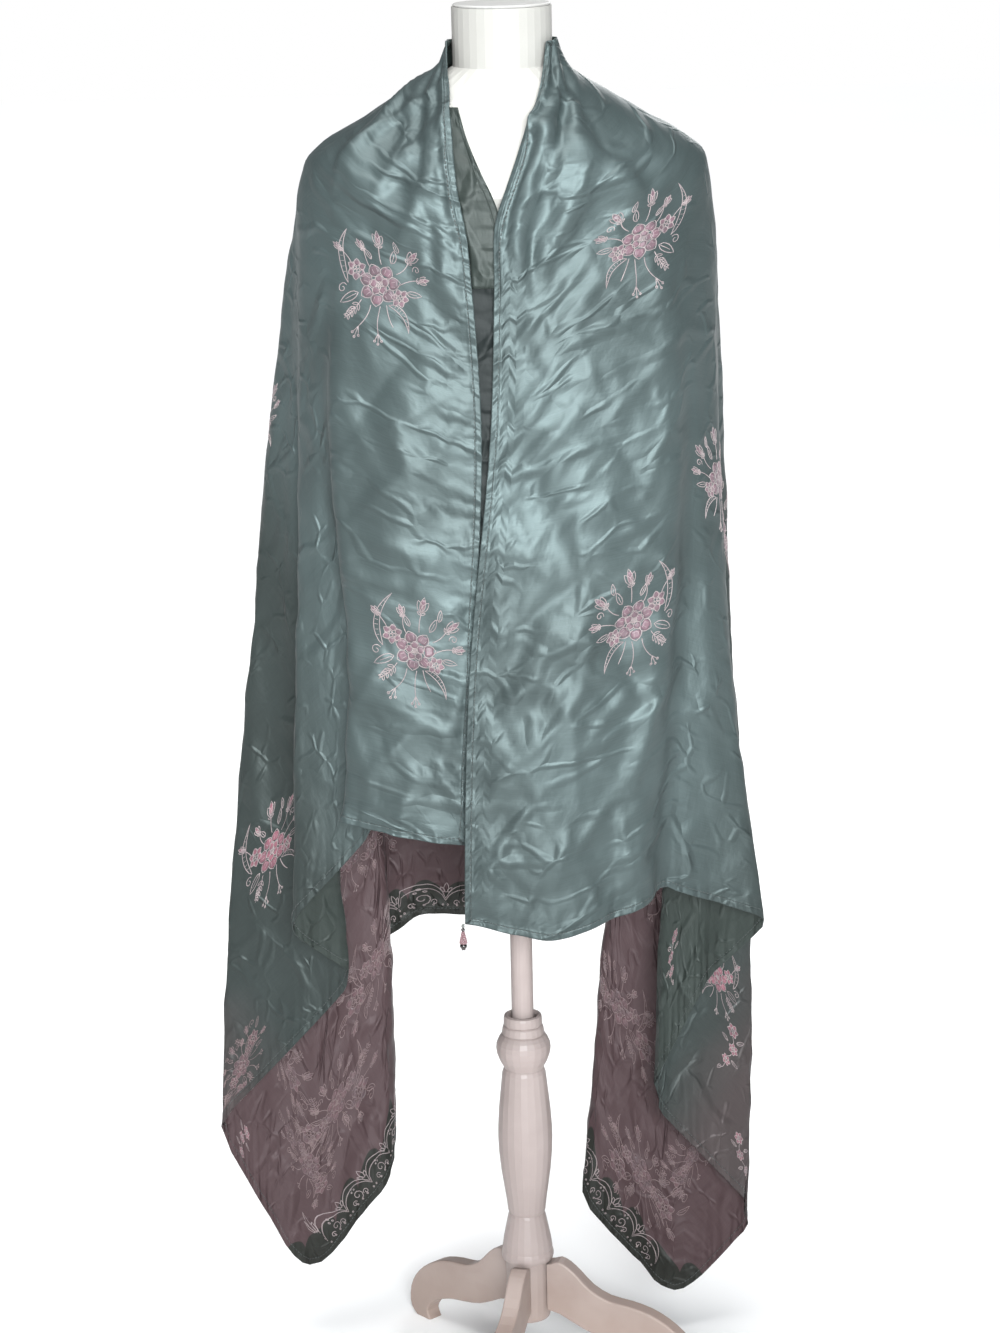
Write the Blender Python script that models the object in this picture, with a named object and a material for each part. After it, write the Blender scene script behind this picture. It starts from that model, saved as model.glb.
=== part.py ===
"""A long silk scarf worn as a shawl on a limbless dress form, which stands on a turned wooden
pedestal with three shaped legs.  Metres, +Z up, the front faces -Y."""
import math
from collections import namedtuple

import bmesh
import bpy
import numpy as np
from mathutils import Matrix, Vector

# Cloth
WALL = 0.0020            # thickness of the draped cloth's wall
SEAM = 0.0003            # gap left between neighbouring stretches
REST = 0.0028            # clearance between the form and the cloth that rests on it
SHARPEST = 0.6           # limits how far the wall's faces reach out at a sharp turn

# Heights of the whole
NECK_TOP = 1.4345        # top of the form's neck, under its cap
NECK_RADIUS = 0.0485
CAP_THICK = 0.0025
NAPE = 1.402             # top edge of the cloth round the neck
YOKE_LOW = 1.185         # below this the folds hang free, above it they join
YOKE_HIGH = 1.270        # above this the cloth lies on the form
FORM_LOW = 0.742         # underside of the form

# Plan half-width and half-depth (mm) of the cloth on the shoulders, and of the form below them
Ring = namedtuple("Ring", "height half_width half_depth")
SHOULDER_RINGS = (
    Ring(1.4200, 51.5, 51.5),
    Ring(1.3950, 54.5, 53.5),
    Ring(1.3740, 66.0, 58.0),
    Ring(1.3580, 90.0, 65.0),
    Ring(1.3430, 116.0, 72.5),
    Ring(1.3270, 142.0, 80.5),
    Ring(1.3110, 171.0, 88.5),
    Ring(1.2960, 190.0, 96.0),
    Ring(1.2760, 198.0, 104.0),
    Ring(1.2400, 202.5, 111.0),
    Ring(1.1800, 203.0, 119.0),
)
TORSO_RINGS = (
    Ring(1.2350, 176.0, 98.0),
    Ring(1.1750, 160.0, 108.0),
    Ring(1.1100, 152.0, 112.0),
    Ring(1.0300, 136.0, 98.0),
    Ring(0.9500, 121.0, 84.0),
    Ring(0.8700, 134.0, 90.0),
    Ring(0.7950, 150.0, 100.0),
    Ring(0.7560, 148.0, 98.0),
    Ring(FORM_LOW, 141.0, 92.0),
)

# Folds, from the left front edge round the back to the right front edge.  Each row has the
# share of the way round the shoulders where it starts, the height of the hem at its foot, the
# length of cloth that turns at it (mm), and its plan place (mm) at the five heights below.
FOLD_HEIGHTS = (1.24, 1.05, 0.80, 0.50, 0.10)
Fold = namedtuple("Fold", "name share hem turn x y")
LEFT_FOLDS = (
    Fold("front_edge", 0.00, 0.627, 5, (-38, -28, -42, -62, -62), (-107, -129, -130, -127, -127)),
    Fold("front_middle", 0.15, 0.638, 30, (-95, -98, -105, -118, -118), (-102, -131, -138, -139, -139)),
    Fold("front_crest", 0.28, 0.652, 16, (-152, -176, -170, -198, -198), (-80, -106, -116, -119, -119)),
    Fold("front_valley", 0.34, 0.632, 16, (-171, -176, -146, -142, -142), (-66, -82, -82, -76, -76)),
    Fold("side_crest", 0.40, 0.519, 18, (-197, -209, -226, -242, -242), (-40, -50, -57, -58, -58)),
    Fold("side_valley", 0.44, 0.452, 16, (-205, -206, -192, -172, -168), (-14, -24, -24, -20, -20)),
    Fold("outer_crest", 0.48, 0.268, 20, (-211, -243, -277, -314, -335), (12, 17, 26, 33, 34)),
    Fold("tail_corner", 0.57, 0.074, 40, (-198, -214, -223, -230, -236), (46, 52, 54, 52, 50)),
    Fold("tail_crest", 0.66, 0.200, 10, (-170, -166, -153, -139, -138), (66, 74, 74, 70, 68)),
    Fold("tail_turn", 0.70, 0.245, 10, (-156, -162, -153, -139, -138), (76, 92, 96, 92, 90)),
    Fold("back_fold", 0.75, 0.350, 9, (-140, -176, -204, -220, -220), (86, 100, 108, 110, 108)),
    Fold("back_turn", 0.78, 0.378, 9, (-126, -168, -202, -220, -220), (93, 114, 126, 130, 128)),
    Fold("back_middle", 0.87, 0.462, 40, (-74, -90, -102, -108, -108), (108, 129, 142, 149, 149)),
)
CENTRE_BACK = Fold("centre_back", 1.00, 0.452, 40, (0, 0, 0, 0, 0), (114, 131, 141, 147, 147))
RIGHT_FOLDS = (
    Fold("front_edge", 0.00, 0.549, 5, (-11, -19, -46, -57, -57), (-110, -133, -140, -142, -142)),
    Fold("front_middle", 0.20, 0.530, 30, (66, 62, 46, 28, 28), (-107, -137, -146, -149, -149)),
    Fold("front_crest", 0.31, 0.553, 16, (146, 161, 147, 118, 118), (-84, -108, -118, -122, -122)),
    Fold("front_valley", 0.36, 0.566, 14, (166, 172, 158, 137, 137), (-68, -84, -85, -86, -86)),
    Fold("side_crest", 0.41, 0.517, 18, (193, 203, 220, 256, 256), (-38, -48, -52, -54, -54)),
    Fold("side_pleat", 0.44, 0.440, 12, (203, 206, 204, 192, 192), (-16, -24, -22, -18, -18)),
    Fold("side_valley", 0.47, 0.298, 16, (207, 200, 172, 137, 126), (-2, -4, 2, 6, 8)),
    Fold("outer_crest", 0.50, 0.146, 20, (204, 218, 231, 250, 250), (14, 30, 42, 46, 46)),
    Fold("tail_corner", 0.57, 0.036, 40, (192, 194, 186, 174, 164), (46, 60, 66, 66, 64)),
    Fold("tail_crest", 0.66, 0.152, 10, (170, 154, 124, 92, 56), (66, 78, 82, 80, 78)),
    Fold("tail_turn", 0.70, 0.200, 10, (156, 150, 124, 94, 60), (76, 96, 104, 102, 100)),
    Fold("back_fold", 0.75, 0.320, 9, (140, 170, 190, 204, 208), (86, 103, 113, 116, 114)),
    Fold("back_turn", 0.78, 0.348, 9, (126, 162, 188, 204, 208), (93, 117, 131, 135, 133)),
    Fold("back_middle", 0.87, 0.448, 40, (74, 90, 100, 106, 106), (108, 130, 144, 151, 151)),
)
FOLDS = LEFT_FOLDS + (CENTRE_BACK,) + RIGHT_FOLDS[::-1]
LAST = len(FOLDS) - 1

# Where the two front edges lie across the chest: height and distance from the centre (mm)
LEFT_EDGE = ((1.42, -50), (1.40, -52), (1.36, -50), (1.28, -46), (1.18, -29))
RIGHT_EDGE = ((1.42, 44), (1.40, 41), (1.36, 34), (1.30, 12), (1.24, -10), (1.18, -20))

# Stretches of the cloth: from and to which station.  Fold n of the left table is station n, and
# fold n of the right table is station LAST - n.
Stretch = namedtuple("Stretch", "name first last")
STRETCHES = (
    Stretch("collar_left", 0.0, 0.5),
    Stretch("front_left", 0.5, 2.5),
    Stretch("side_fold_left", 2.5, 4.5),
    Stretch("side_left", 4.5, 6.2),
    Stretch("tail_left", 6.2, 9.5),
    Stretch("back", 9.5, LAST - 10.5),
    Stretch("tail_right", LAST - 10.5, LAST - 7.2),
    Stretch("side_right", LAST - 7.2, LAST - 4.5),
    Stretch("side_fold_right", LAST - 4.5, LAST - 2.5),
    Stretch("front_right", LAST - 2.5, LAST - 0.5),
    Stretch("collar_right", LAST - 0.5, LAST),
)
COLUMN_SHARES = (0.0, 0.2, 0.5, 0.8)     # columns between one fold and the next
COLLAR_COLUMNS = {"collar_left": 4, "collar_right": 7}
YOKE_ROWS = 9
HANG_ROWS = 11

# Rolled front edges: where the rolls fade out, and how far they stand off the form
COLLAR_FULL = 1.250
COLLAR_FOOT = 1.130
COLLAR_HIGH = 1.320      # from here up to the neck the rolls flatten, to this share less
COLLAR_CALM = 0.75
LEFT_ROLL = 0.0060
RIGHT_ROLL = 0.0065
RIGHT_LIFT = 0.0045
COLLAR_SPAN = 0.75       # share of the first cell beside an edge that the roll takes up

# Broad creases: the station and height of the middle, metres of cloth to a station there, the
# half width, the half length and the lean from upright (top to the left), and the height (m)
Crease = namedtuple("Crease", "station height cell width length lean depth")
SOFT_FOLDS = (
    Crease(0.95, 1.262, 0.060, 0.014, 0.060, 38.0, 0.0060),
    Crease(1.45, 1.285, 0.065, 0.013, 0.045, 22.0, 0.0050),
    Crease(0.55, 1.190, 0.060, 0.016, 0.060, 30.0, 0.0045),
    Crease(1.10, 0.990, 0.070, 0.026, 0.120, -8.0, 0.0050),
    Crease(0.80, 0.800, 0.070, 0.024, 0.090, 14.0, -0.0045),
    Crease(5.60, 0.760, 0.090, 0.024, 0.160, 4.0, -0.0045),
    Crease(6.60, 0.400, 0.110, 0.028, 0.150, -8.0, 0.0060),
    Crease(LAST - 0.90, 1.270, 0.085, 0.015, 0.060, 52.0, 0.0060),
    Crease(LAST - 1.30, 1.225, 0.085, 0.016, 0.060, 40.0, 0.0050),
    Crease(LAST - 0.65, 0.970, 0.090, 0.018, 0.090, 26.0, -0.0050),
    Crease(LAST - 1.20, 0.880, 0.095, 0.026, 0.120, -6.0, 0.0055),
    Crease(LAST - 0.70, 0.690, 0.095, 0.026, 0.090, 10.0, 0.0050),
    Crease(LAST - 3.50, 0.780, 0.080, 0.022, 0.140, -4.0, 0.0045),
    Crease(LAST - 7.60, 0.380, 0.100, 0.026, 0.140, 8.0, 0.0060),
    Crease(12.10, 0.900, 0.110, 0.034, 0.220, 8.0, 0.0080),
    Crease(13.80, 0.820, 0.110, 0.034, 0.240, -6.0, 0.0080),
    Crease(13.00, 1.090, 0.110, 0.030, 0.130, 4.0, -0.0060),
)

# The turned-in strip that shows inside the left edge: height, and its two sides (mm)
TURN_IN = ((1.345, -56, -44), (1.320, -53, -37), (1.290, -51, -25), (1.262, -46, -12),
           (1.240, -41, -13), (1.215, -34, -18), (1.203, -30, -21))
TURN_IN_DROP = -0.0018   # the strip lies this much lower than the cloth round it

# The turned-under edge of the right front, dark in the gap between the two front edges: height,
# then the far and near side across the chest and how far forward each of them lies (mm)
TURN_UNDER = (
    (1.190, -42, -8, -112.0, -114.0),
    (1.155, -42, -7, -116.0, -117.4),
    (1.120, -42, -6, -119.0, -120.6),
    (1.050, -41, -8, -125.6, -127.4),
    (0.960, -43, -14, -128.4, -130.4),
    (0.880, -47, -24, -127.4, -129.2),
    (0.830, -50, -36, -127.0, -127.8),
)

# Form
FORM_SIDES = 36
SHOULDER_LEVELS = (1.262, 1.278, 1.290, 1.300, 1.310, 1.320, 1.332, 1.343, 1.352, 1.362)
NECK_LEVELS = (1.378, 1.395, NECK_TOP)

# Stand (mm): height and radius down each turned piece
POLE_RADIUS = 0.0115
TURNED_SIDES = 22
SOCKET_RADIUS = 14.2
SOCKET_FLOOR = 352.0
POST_PROFILE = (
    (SOCKET_FLOOR, 0.0), (SOCKET_FLOOR, SOCKET_RADIUS), (397.0, SOCKET_RADIUS), (398.5, 15.2),
    (399.0, 17.0), (398.0, 19.4), (395.5, 20.0), (388.6, 20.2), (387.6, 19.2), (386.6, 20.6),
    (385.6, 21.2), (379.0, 22.4), (377.8, 21.4), (376.6, 23.2), (373.0, 25.8), (368.0, 28.0),
    (362.5, 28.6), (356.0, 27.8), (349.0, 25.2), (342.5, 21.6), (340.0, 20.6), (338.6, 21.6),
    (335.0, 22.8), (318.0, 24.6), (295.0, 27.0), (275.0, 28.3), (262.0, 28.5), (246.0, 28.0),
    (225.0, 26.0), (205.0, 23.2), (190.0, 21.0), (179.0, 19.8), (176.4, 18.8), (173.8, 19.8),
    (160.0, 22.6), (148.0, 25.0), (138.0, 26.4), (135.2, 26.4), (134.0, 26.9), (131.6, 27.5),
    (129.0, 27.7), (126.4, 27.5), (124.2, 26.6), (123.4, 25.0), (123.4, 0.0),
)
HUB_PROFILE = ((123.1, 0.0), (123.1, 23.2), (60.0, 23.2), (57.0, 22.0), (55.5, 19.5), (55.5, 0.0))
LEG_DIRECTIONS = {"leg_front": -106.0, "leg_right": -18.0, "leg_back": 132.0}
LEG_THICKNESS = 0.018
LEG_EDGE = 0.0022
LEG_TOP = ((29.0, 122.0), (36.0, 125.0), (46.0, 120.5), (57.0, 111.0), (71.0, 97.0), (90.0, 87.0),
           (113.0, 83.0), (135.0, 77.0), (154.0, 67.0), (170.0, 54.0), (181.0, 39.0),
           (186.0, 22.0), (184.0, 7.0), (176.0, 0.0))
LEG_UNDER = ((153.0, 0.0), (157.5, 9.0), (152.0, 19.0), (141.0, 27.5), (128.0, 33.5),
             (113.0, 38.0), (92.0, 42.0), (71.0, 47.5), (52.0, 56.5), (36.0, 65.0), (23.5, 68.0))
LEG_STEP = ((23.5, 121.0),)

# Beaded drop at the right front corner: height below the hem and radius (mm)
DROP_PROFILE = ((0.0, 0.0), (0.0, 1.6), (-1.0, 2.6), (-2.6, 2.6), (-3.6, 1.2), (-4.4, 1.8),
                (-6.0, 2.2), (-7.6, 1.6), (-8.4, 1.2), (-10.0, 2.6), (-13.0, 3.5), (-17.0, 4.3),
                (-20.0, 4.5), (-22.4, 3.8), (-23.6, 2.2), (-24.6, 2.9), (-26.2, 2.4), (-27.2, 0.0))
DROP_SIDES = 12
DROP_ASIDE = 0.0020

# Colours (linear), roughness and metal of each material
Finish = namedtuple("Finish", "colour roughness metal")
FINISHES = {
    "silk_sage": Finish((0.115, 0.155, 0.150), 0.38, 0.0),
    "silk_mauve": Finish((0.130, 0.098, 0.102), 0.45, 0.0),
    "form_white": Finish((0.860, 0.845, 0.815), 0.55, 0.0),
    "cap_grey": Finish((0.420, 0.410, 0.400), 0.50, 0.0),
    "painted_wood": Finish((0.740, 0.630, 0.570), 0.42, 0.0),
    "beads": Finish((0.520, 0.230, 0.250), 0.25, 0.0),
}


def remove_everything():
    for item in list(bpy.data.objects):
        bpy.data.objects.remove(item, do_unlink=True)


def smooth_step(value):
    value = np.clip(value, 0.0, 1.0)
    return value * value * (3.0 - 2.0 * value)


def smooth_table(heights, values, at):
    """Values of a table at any height, on a smooth curve through its rows."""
    order = np.argsort(heights)
    knots = np.asarray(heights, float)[order]
    rows = np.asarray(values, float)[order]
    slope = np.gradient(rows, knots, axis=0)
    at = np.clip(at, knots[0], knots[-1])
    cell = np.clip(np.searchsorted(knots, at) - 1, 0, len(knots) - 2)
    span = knots[cell + 1] - knots[cell]
    part = (at - knots[cell]) / span
    rise = part * part * (3.0 - 2.0 * part)
    start = part * (1.0 - part) ** 2 * span
    finish = -part * part * (1.0 - part) * span
    return (rows[cell] * (1.0 - rise) + rows[cell + 1] * rise
            + slope[cell] * start + slope[cell + 1] * finish)


def fold_places(height):
    """Plan place of every fold at one height, in metres."""
    places = [[(x, y) for x, y in zip(fold.x, fold.y)] for fold in FOLDS]
    return smooth_table(FOLD_HEIGHTS, np.swapaxes(places, 0, 1), height) / 1000.0


def turn_share(places, index):
    """Shares of the two cells beside a fold over which the cloth turns round it."""
    length = FOLDS[index].turn / 1000.0
    before = np.linalg.norm(places[index] - places[index - 1])
    after = np.linalg.norm(places[index + 1] - places[index])
    return min(0.45, length / before), min(0.45, length / after)


def hanging_place(station, height):
    """Plan place of the hanging cloth: straight between folds and rounded at each of them."""
    places = fold_places(height)
    nearest = int(round(station))
    cell = min(int(station), LAST - 1)
    straight = places[cell] + (places[cell + 1] - places[cell]) * (station - cell)
    if nearest in (0, LAST):
        return straight
    before, after = turn_share(places, nearest)
    reach = station - nearest
    if reach <= -before or reach >= after:
        return straight
    start = places[nearest] + (places[nearest - 1] - places[nearest]) * before
    finish = places[nearest] + (places[nearest + 1] - places[nearest]) * after
    part = (reach + before) / (before + after)
    return (start * (1.0 - part) ** 2 + places[nearest] * 2.0 * part * (1.0 - part)
            + finish * part ** 2)


def ring_size(rings, height):
    table = [(ring.half_width, ring.half_depth) for ring in rings]
    return smooth_table([ring.height for ring in rings], table, height) / 1000.0


def edge_angle(edge, height):
    """Angle from the front, in radians, at which a front edge crosses the shoulder ring."""
    offset = smooth_table([row[0] for row in edge], [row[1] for row in edge], height) / 1000.0
    half_width = ring_size(SHOULDER_RINGS, height)[0]
    return math.asin(max(-0.999, min(0.999, offset / half_width)))


def yoke_place(station, height):
    """Plan place of the cloth that lies on the shoulders and round the neck."""
    shares = [fold.share for fold in LEFT_FOLDS] + [1.0] + [2.0 - f.share for f in RIGHT_FOLDS[::-1]]
    share = float(np.interp(station, range(len(FOLDS)), shares))
    if share <= 1.0:
        edge = edge_angle(LEFT_EDGE, height)
        angle = edge - share * (math.pi + edge)
    else:
        edge = edge_angle(RIGHT_EDGE, height)
        angle = edge + (2.0 - share) * (math.pi - edge)
    half_width, half_depth = ring_size(SHOULDER_RINGS, height)
    return np.array((half_width * math.sin(angle), -half_depth * math.cos(angle)))


def hem_height(station):
    return float(np.interp(station, range(len(FOLDS)), [fold.hem for fold in FOLDS]))


def row_height(station, row):
    """Height of a row of the cloth: close rows on the shoulders, then even ones to the hem."""
    if row <= YOKE_ROWS:
        return NAPE + (YOKE_LOW - NAPE) * (row / YOKE_ROWS) ** 1.25
    return YOKE_LOW + (hem_height(station) - YOKE_LOW) * (row - YOKE_ROWS) / HANG_ROWS


def cloth_point(station, row):
    height = row_height(station, row)
    lie = smooth_step((height - YOKE_LOW) / (YOKE_HIGH - YOKE_LOW))
    place = hanging_place(station, height)
    if lie > 0.0:
        place = place * (1.0 - lie) + yoke_place(station, height) * lie
    return np.array((place[0], place[1], height))


def stretch_stations(stretch):
    """Where the columns of a stretch stand."""
    if stretch.name in COLLAR_COLUMNS:
        return np.linspace(stretch.first, stretch.last, COLLAR_COLUMNS[stretch.name] + 1)
    inner = [fold + share for fold in range(LAST) for share in COLUMN_SHARES]
    inner = [place for place in inner if stretch.first + 0.05 < place < stretch.last - 0.05]
    return np.array([stretch.first] + inner + [stretch.last])


def cloth_grid(stretch):
    """Points on the middle of the wall, a column for each station and a row for each height."""
    stations = stretch_stations(stretch)
    rows = range(YOKE_ROWS + HANG_ROWS + 1)
    grid = np.array([[cloth_point(station, row) for row in rows] for station in stations])
    return stations, grid


def whole_grid():
    """All stretches end to end, with the shared columns kept once."""
    columns, grids = [], []
    for stretch in STRETCHES:
        stations, grid = cloth_grid(stretch)
        start = 1 if columns else 0
        columns.extend(stations[start:])
        grids.append(grid[start:])
    return np.array(columns), np.concatenate(grids)


def unit(vectors):
    return vectors / np.maximum(np.linalg.norm(vectors, axis=-1, keepdims=True), 1e-9)


def grid_normals(grid):
    """Outward normals of the cloth, away from the form."""
    steps = unit(np.diff(grid, axis=0))
    across = np.concatenate([steps[:1] * 2.0, steps[:-1] + steps[1:], steps[-1:] * 2.0])
    down = np.gradient(grid, axis=1)
    return unit(np.cross(across, down)), np.linalg.norm(across, axis=-1, keepdims=True) / 2.0


def wall_offsets(grid):
    """From the middle of the wall to its outer face, longer where the cloth turns sharply."""
    normals, straightness = grid_normals(grid)
    return normals * WALL / 2.0 / np.maximum(straightness, SHARPEST)


def wall_mesh(name, outer, inner):
    """A closed wall between two grids of points."""
    mesh = bmesh.new()
    columns, rows = outer.shape[:2]
    layers = [[[mesh.verts.new(layer[c, r]) for r in range(rows)] for c in range(columns)]
              for layer in (outer, inner)]
    front, back = layers
    for c in range(columns - 1):
        for r in range(rows - 1):
            mesh.faces.new((front[c][r], front[c][r + 1], front[c + 1][r + 1], front[c + 1][r]))
            mesh.faces.new((back[c][r], back[c + 1][r], back[c + 1][r + 1], back[c][r + 1]))
    rim = [(c, 0) for c in range(columns)] + [(columns - 1, r) for r in range(1, rows)]
    rim += [(c, rows - 1) for c in range(columns - 2, -1, -1)]
    rim += [(0, r) for r in range(rows - 2, 0, -1)]
    for here, there in zip(rim, rim[1:] + rim[:1]):
        a, b = front[here[0]][here[1]], front[there[0]][there[1]]
        c, d = back[there[0]][there[1]], back[here[0]][here[1]]
        mesh.faces.new((a, b, c, d))
    bmesh.ops.triangulate(mesh, faces=mesh.faces)
    bmesh.ops.recalc_face_normals(mesh, faces=mesh.faces)
    return finish_object(name, mesh)


def finish_object(name, mesh, smooth_angle=math.radians(40)):
    data = bpy.data.meshes.new(name)
    mesh.to_mesh(data)
    mesh.free()
    data.shade_smooth()
    data.set_sharp_from_angle(angle=smooth_angle)
    item = bpy.data.objects.new(name, data)
    bpy.context.scene.collection.objects.link(item)
    return item


def build_cloth():
    """Every stretch of the draped cloth as a wall, a seam's gap apart from its neighbours."""
    columns, grid = shaped_grid()
    offsets = wall_offsets(grid)
    pieces = []
    for stretch in STRETCHES:
        low = int(np.argmin(abs(columns - stretch.first)))
        high = int(np.argmin(abs(columns - stretch.last)))
        middle = grid[low:high + 1].copy()
        offset = offsets[low:high + 1]
        if low > 0:
            middle[0] += unit(middle[1] - middle[0]) * SEAM / 2.0
        if high < len(columns) - 1:
            middle[-1] += unit(middle[-2] - middle[-1]) * SEAM / 2.0
        pieces.append(wall_mesh(stretch.name, middle + offset, middle - offset))
    return pieces


def collar_raise(station, height):
    """How far the cloth stands off the form in the collars, in metres: a rolled edge on the
    left, and two folds side by side on the right."""
    fade = float(smooth_step((height - COLLAR_FOOT) / (COLLAR_FULL - COLLAR_FOOT)))
    fade *= 1.0 - COLLAR_CALM * float(smooth_step((height - COLLAR_HIGH) / (NAPE - COLLAR_HIGH)))
    left = min(station / COLLAR_SPAN, 1.0)
    right = min((LAST - station) / COLLAR_SPAN, 1.0)
    roll = LEFT_ROLL * (1.0 - left ** 2) ** 2
    folds = RIGHT_ROLL * math.sin(math.pi * 2.0 * right) ** 2 if right < 1.0 else 0.0
    folds += RIGHT_LIFT * (1.0 - right ** 2)
    return fade * (roll + folds)


def soft_fold_depth(station, height):
    """Depth of the broad creases at one place, in metres, troughs below zero."""
    depth = 0.0
    for crease in SOFT_FOLDS:
        along_x = (station - crease.station) * crease.cell
        along_z = height - crease.height
        lean = math.radians(crease.lean)
        along = along_x * math.sin(lean) + along_z * math.cos(lean)
        beside = along_x * math.cos(lean) - along_z * math.sin(lean)
        depth += crease.depth * math.exp(-(along / crease.length) ** 2 - (beside / crease.width) ** 2)
    return depth


def shaped_grid():
    """The whole cloth with its collars and broad creases."""
    columns, grid = whole_grid()
    normals = grid_normals(grid)[0]
    for c, station in enumerate(columns):
        for r in range(grid.shape[1]):
            height = grid[c, r, 2]
            lift = collar_raise(station, height) + soft_fold_depth(station, height)
            grid[c, r] += normals[c, r] * lift
    return columns, grid


def ring_points(half_width, half_depth, height, count=FORM_SIDES):
    angles = [2.0 * math.pi * i / count for i in range(count)]
    return [Vector((half_width * math.sin(a), -half_depth * math.cos(a), height)) for a in angles]


def shoulder_ring_under_cloth(height):
    """Form points below the middle of the resting cloth, measured square to its slope."""
    step = 0.002
    half_width, half_depth = ring_size(SHOULDER_RINGS, height)
    lower = ring_size(SHOULDER_RINGS, height - step)
    upper = ring_size(SHOULDER_RINGS, height + step)
    points = []
    for i in range(FORM_SIDES):
        angle = 2.0 * math.pi * i / FORM_SIDES
        place = Vector((half_width * math.sin(angle), -half_depth * math.cos(angle), height))
        round_it = Vector((half_width * math.cos(angle), half_depth * math.sin(angle), 0.0))
        up = Vector(((upper[0] - lower[0]) * math.sin(angle),
                     -(upper[1] - lower[1]) * math.cos(angle), 2.0 * step))
        outward = round_it.cross(up).normalized()
        points.append(place - outward * (WALL / 2.0 + REST))
    return points


def loft(name, rings):
    """A closed solid through rings of points, lowest first."""
    mesh = bmesh.new()
    loops = [[mesh.verts.new(point) for point in ring] for ring in rings]
    for low, high in zip(loops, loops[1:]):
        for i in range(len(low)):
            j = (i + 1) % len(low)
            mesh.faces.new((low[i], low[j], high[j], high[i]))
    mesh.faces.new(loops[0][::-1])
    mesh.faces.new(loops[-1])
    bmesh.ops.triangulate(mesh, faces=mesh.faces)
    bmesh.ops.recalc_face_normals(mesh, faces=mesh.faces)
    return finish_object(name, mesh)


def build_form():
    """The limbless form: torso, shoulders that carry the cloth, and neck."""
    rings = [ring_points(ring.half_width / 1000.0, ring.half_depth / 1000.0, ring.height)
             for ring in TORSO_RINGS[::-1]]
    for height in SHOULDER_LEVELS:
        rings.append(shoulder_ring_under_cloth(height))
    for height in NECK_LEVELS:
        rings.append(ring_points(NECK_RADIUS, NECK_RADIUS, height))
    cap_low = NECK_TOP + SEAM
    cap = [ring_points(NECK_RADIUS - inset, NECK_RADIUS - inset, cap_low + rise)
           for inset, rise in ((0.0015, 0.0), (0.0010, CAP_THICK / 2), (0.0025, CAP_THICK))]
    return [loft("form_torso", rings), loft("form_neck_cap", cap)]


def turned(name, profile, sides=TURNED_SIDES):
    """A piece turned on the post's axis from (height, radius) rows in mm, closed on the axis."""
    mesh = bmesh.new()
    points = [mesh.verts.new((radius / 1000.0, 0.0, height / 1000.0)) for height, radius in profile]
    edges = [mesh.edges.new(pair) for pair in zip(points, points[1:])]
    bmesh.ops.spin(mesh, geom=points + edges, cent=(0, 0, 0), axis=(0, 0, 1), steps=sides,
                   angle=2.0 * math.pi, use_merge=True)
    bmesh.ops.remove_doubles(mesh, verts=mesh.verts, dist=0.00002)
    bmesh.ops.dissolve_degenerate(mesh, edges=mesh.edges, dist=0.00001)
    bmesh.ops.triangulate(mesh, faces=mesh.faces)
    bmesh.ops.recalc_face_normals(mesh, faces=mesh.faces)
    return finish_object(name, mesh)


def build_turn_in():
    """The strip of the left edge that is folded inwards and shows in the neck opening."""
    heights = [row[0] for row in TURN_IN]
    levels = np.linspace(heights[0], heights[-1], 11)
    shares = np.linspace(0.0, 1.0, 5)
    grid = np.zeros((len(shares), len(levels), 3))
    for r, height in enumerate(levels):
        far, near = smooth_table(heights, [row[1:] for row in TURN_IN], height) / 1000.0
        half_width, half_depth = ring_size(SHOULDER_RINGS, height)
        for c, share in enumerate(shares):
            x = near + (far - near) * share
            y = -half_depth * math.sqrt(1.0 - (x / half_width) ** 2)
            grid[c, r] = (x, y, height)
    grid = grid + grid_normals(grid)[0] * TURN_IN_DROP
    offsets = wall_offsets(grid)
    return wall_mesh("collar_turn_in", grid + offsets, grid - offsets)


def build_turn_under():
    """The strip of the right edge that is folded back under both fronts below the neck opening."""
    heights = [row[0] for row in TURN_UNDER]
    levels = np.linspace(heights[0], heights[-1], 13)
    grid = np.zeros((3, len(levels), 3))
    for r, height in enumerate(levels):
        far_x, near_x, far_y, near_y = smooth_table(heights, [row[1:] for row in TURN_UNDER], height)
        for c, share in enumerate((0.0, 0.5, 1.0)):
            x = near_x + (far_x - near_x) * share
            y = near_y + (far_y - near_y) * share
            grid[c, r] = (x / 1000.0, y / 1000.0, height)
    offsets = wall_offsets(grid)
    return wall_mesh("front_turn_under", grid + offsets, grid - offsets)


def build_drop():
    """The beaded drop, its knot a seam's gap beside the right front corner of the hem."""
    corner = cloth_point(float(LAST), YOKE_ROWS + HANG_ROWS)
    drop = turned("bead_drop", [(z, r) for z, r in DROP_PROFILE], DROP_SIDES)
    drop.data.transform(Matrix.Translation((corner[0] - DROP_ASIDE, corner[1], corner[2])))
    return drop


def build_pole():
    """The plain pole from the floor of the post's socket to the underside of the form."""
    low = SOCKET_FLOOR / 1000.0 + SEAM
    high = FORM_LOW - SEAM
    radius = POLE_RADIUS * 1000.0
    return turned("pole", [(high * 1000.0, 0.0), (high * 1000.0, radius), (low * 1000.0, radius),
                           (low * 1000.0, 0.0)])


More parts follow.
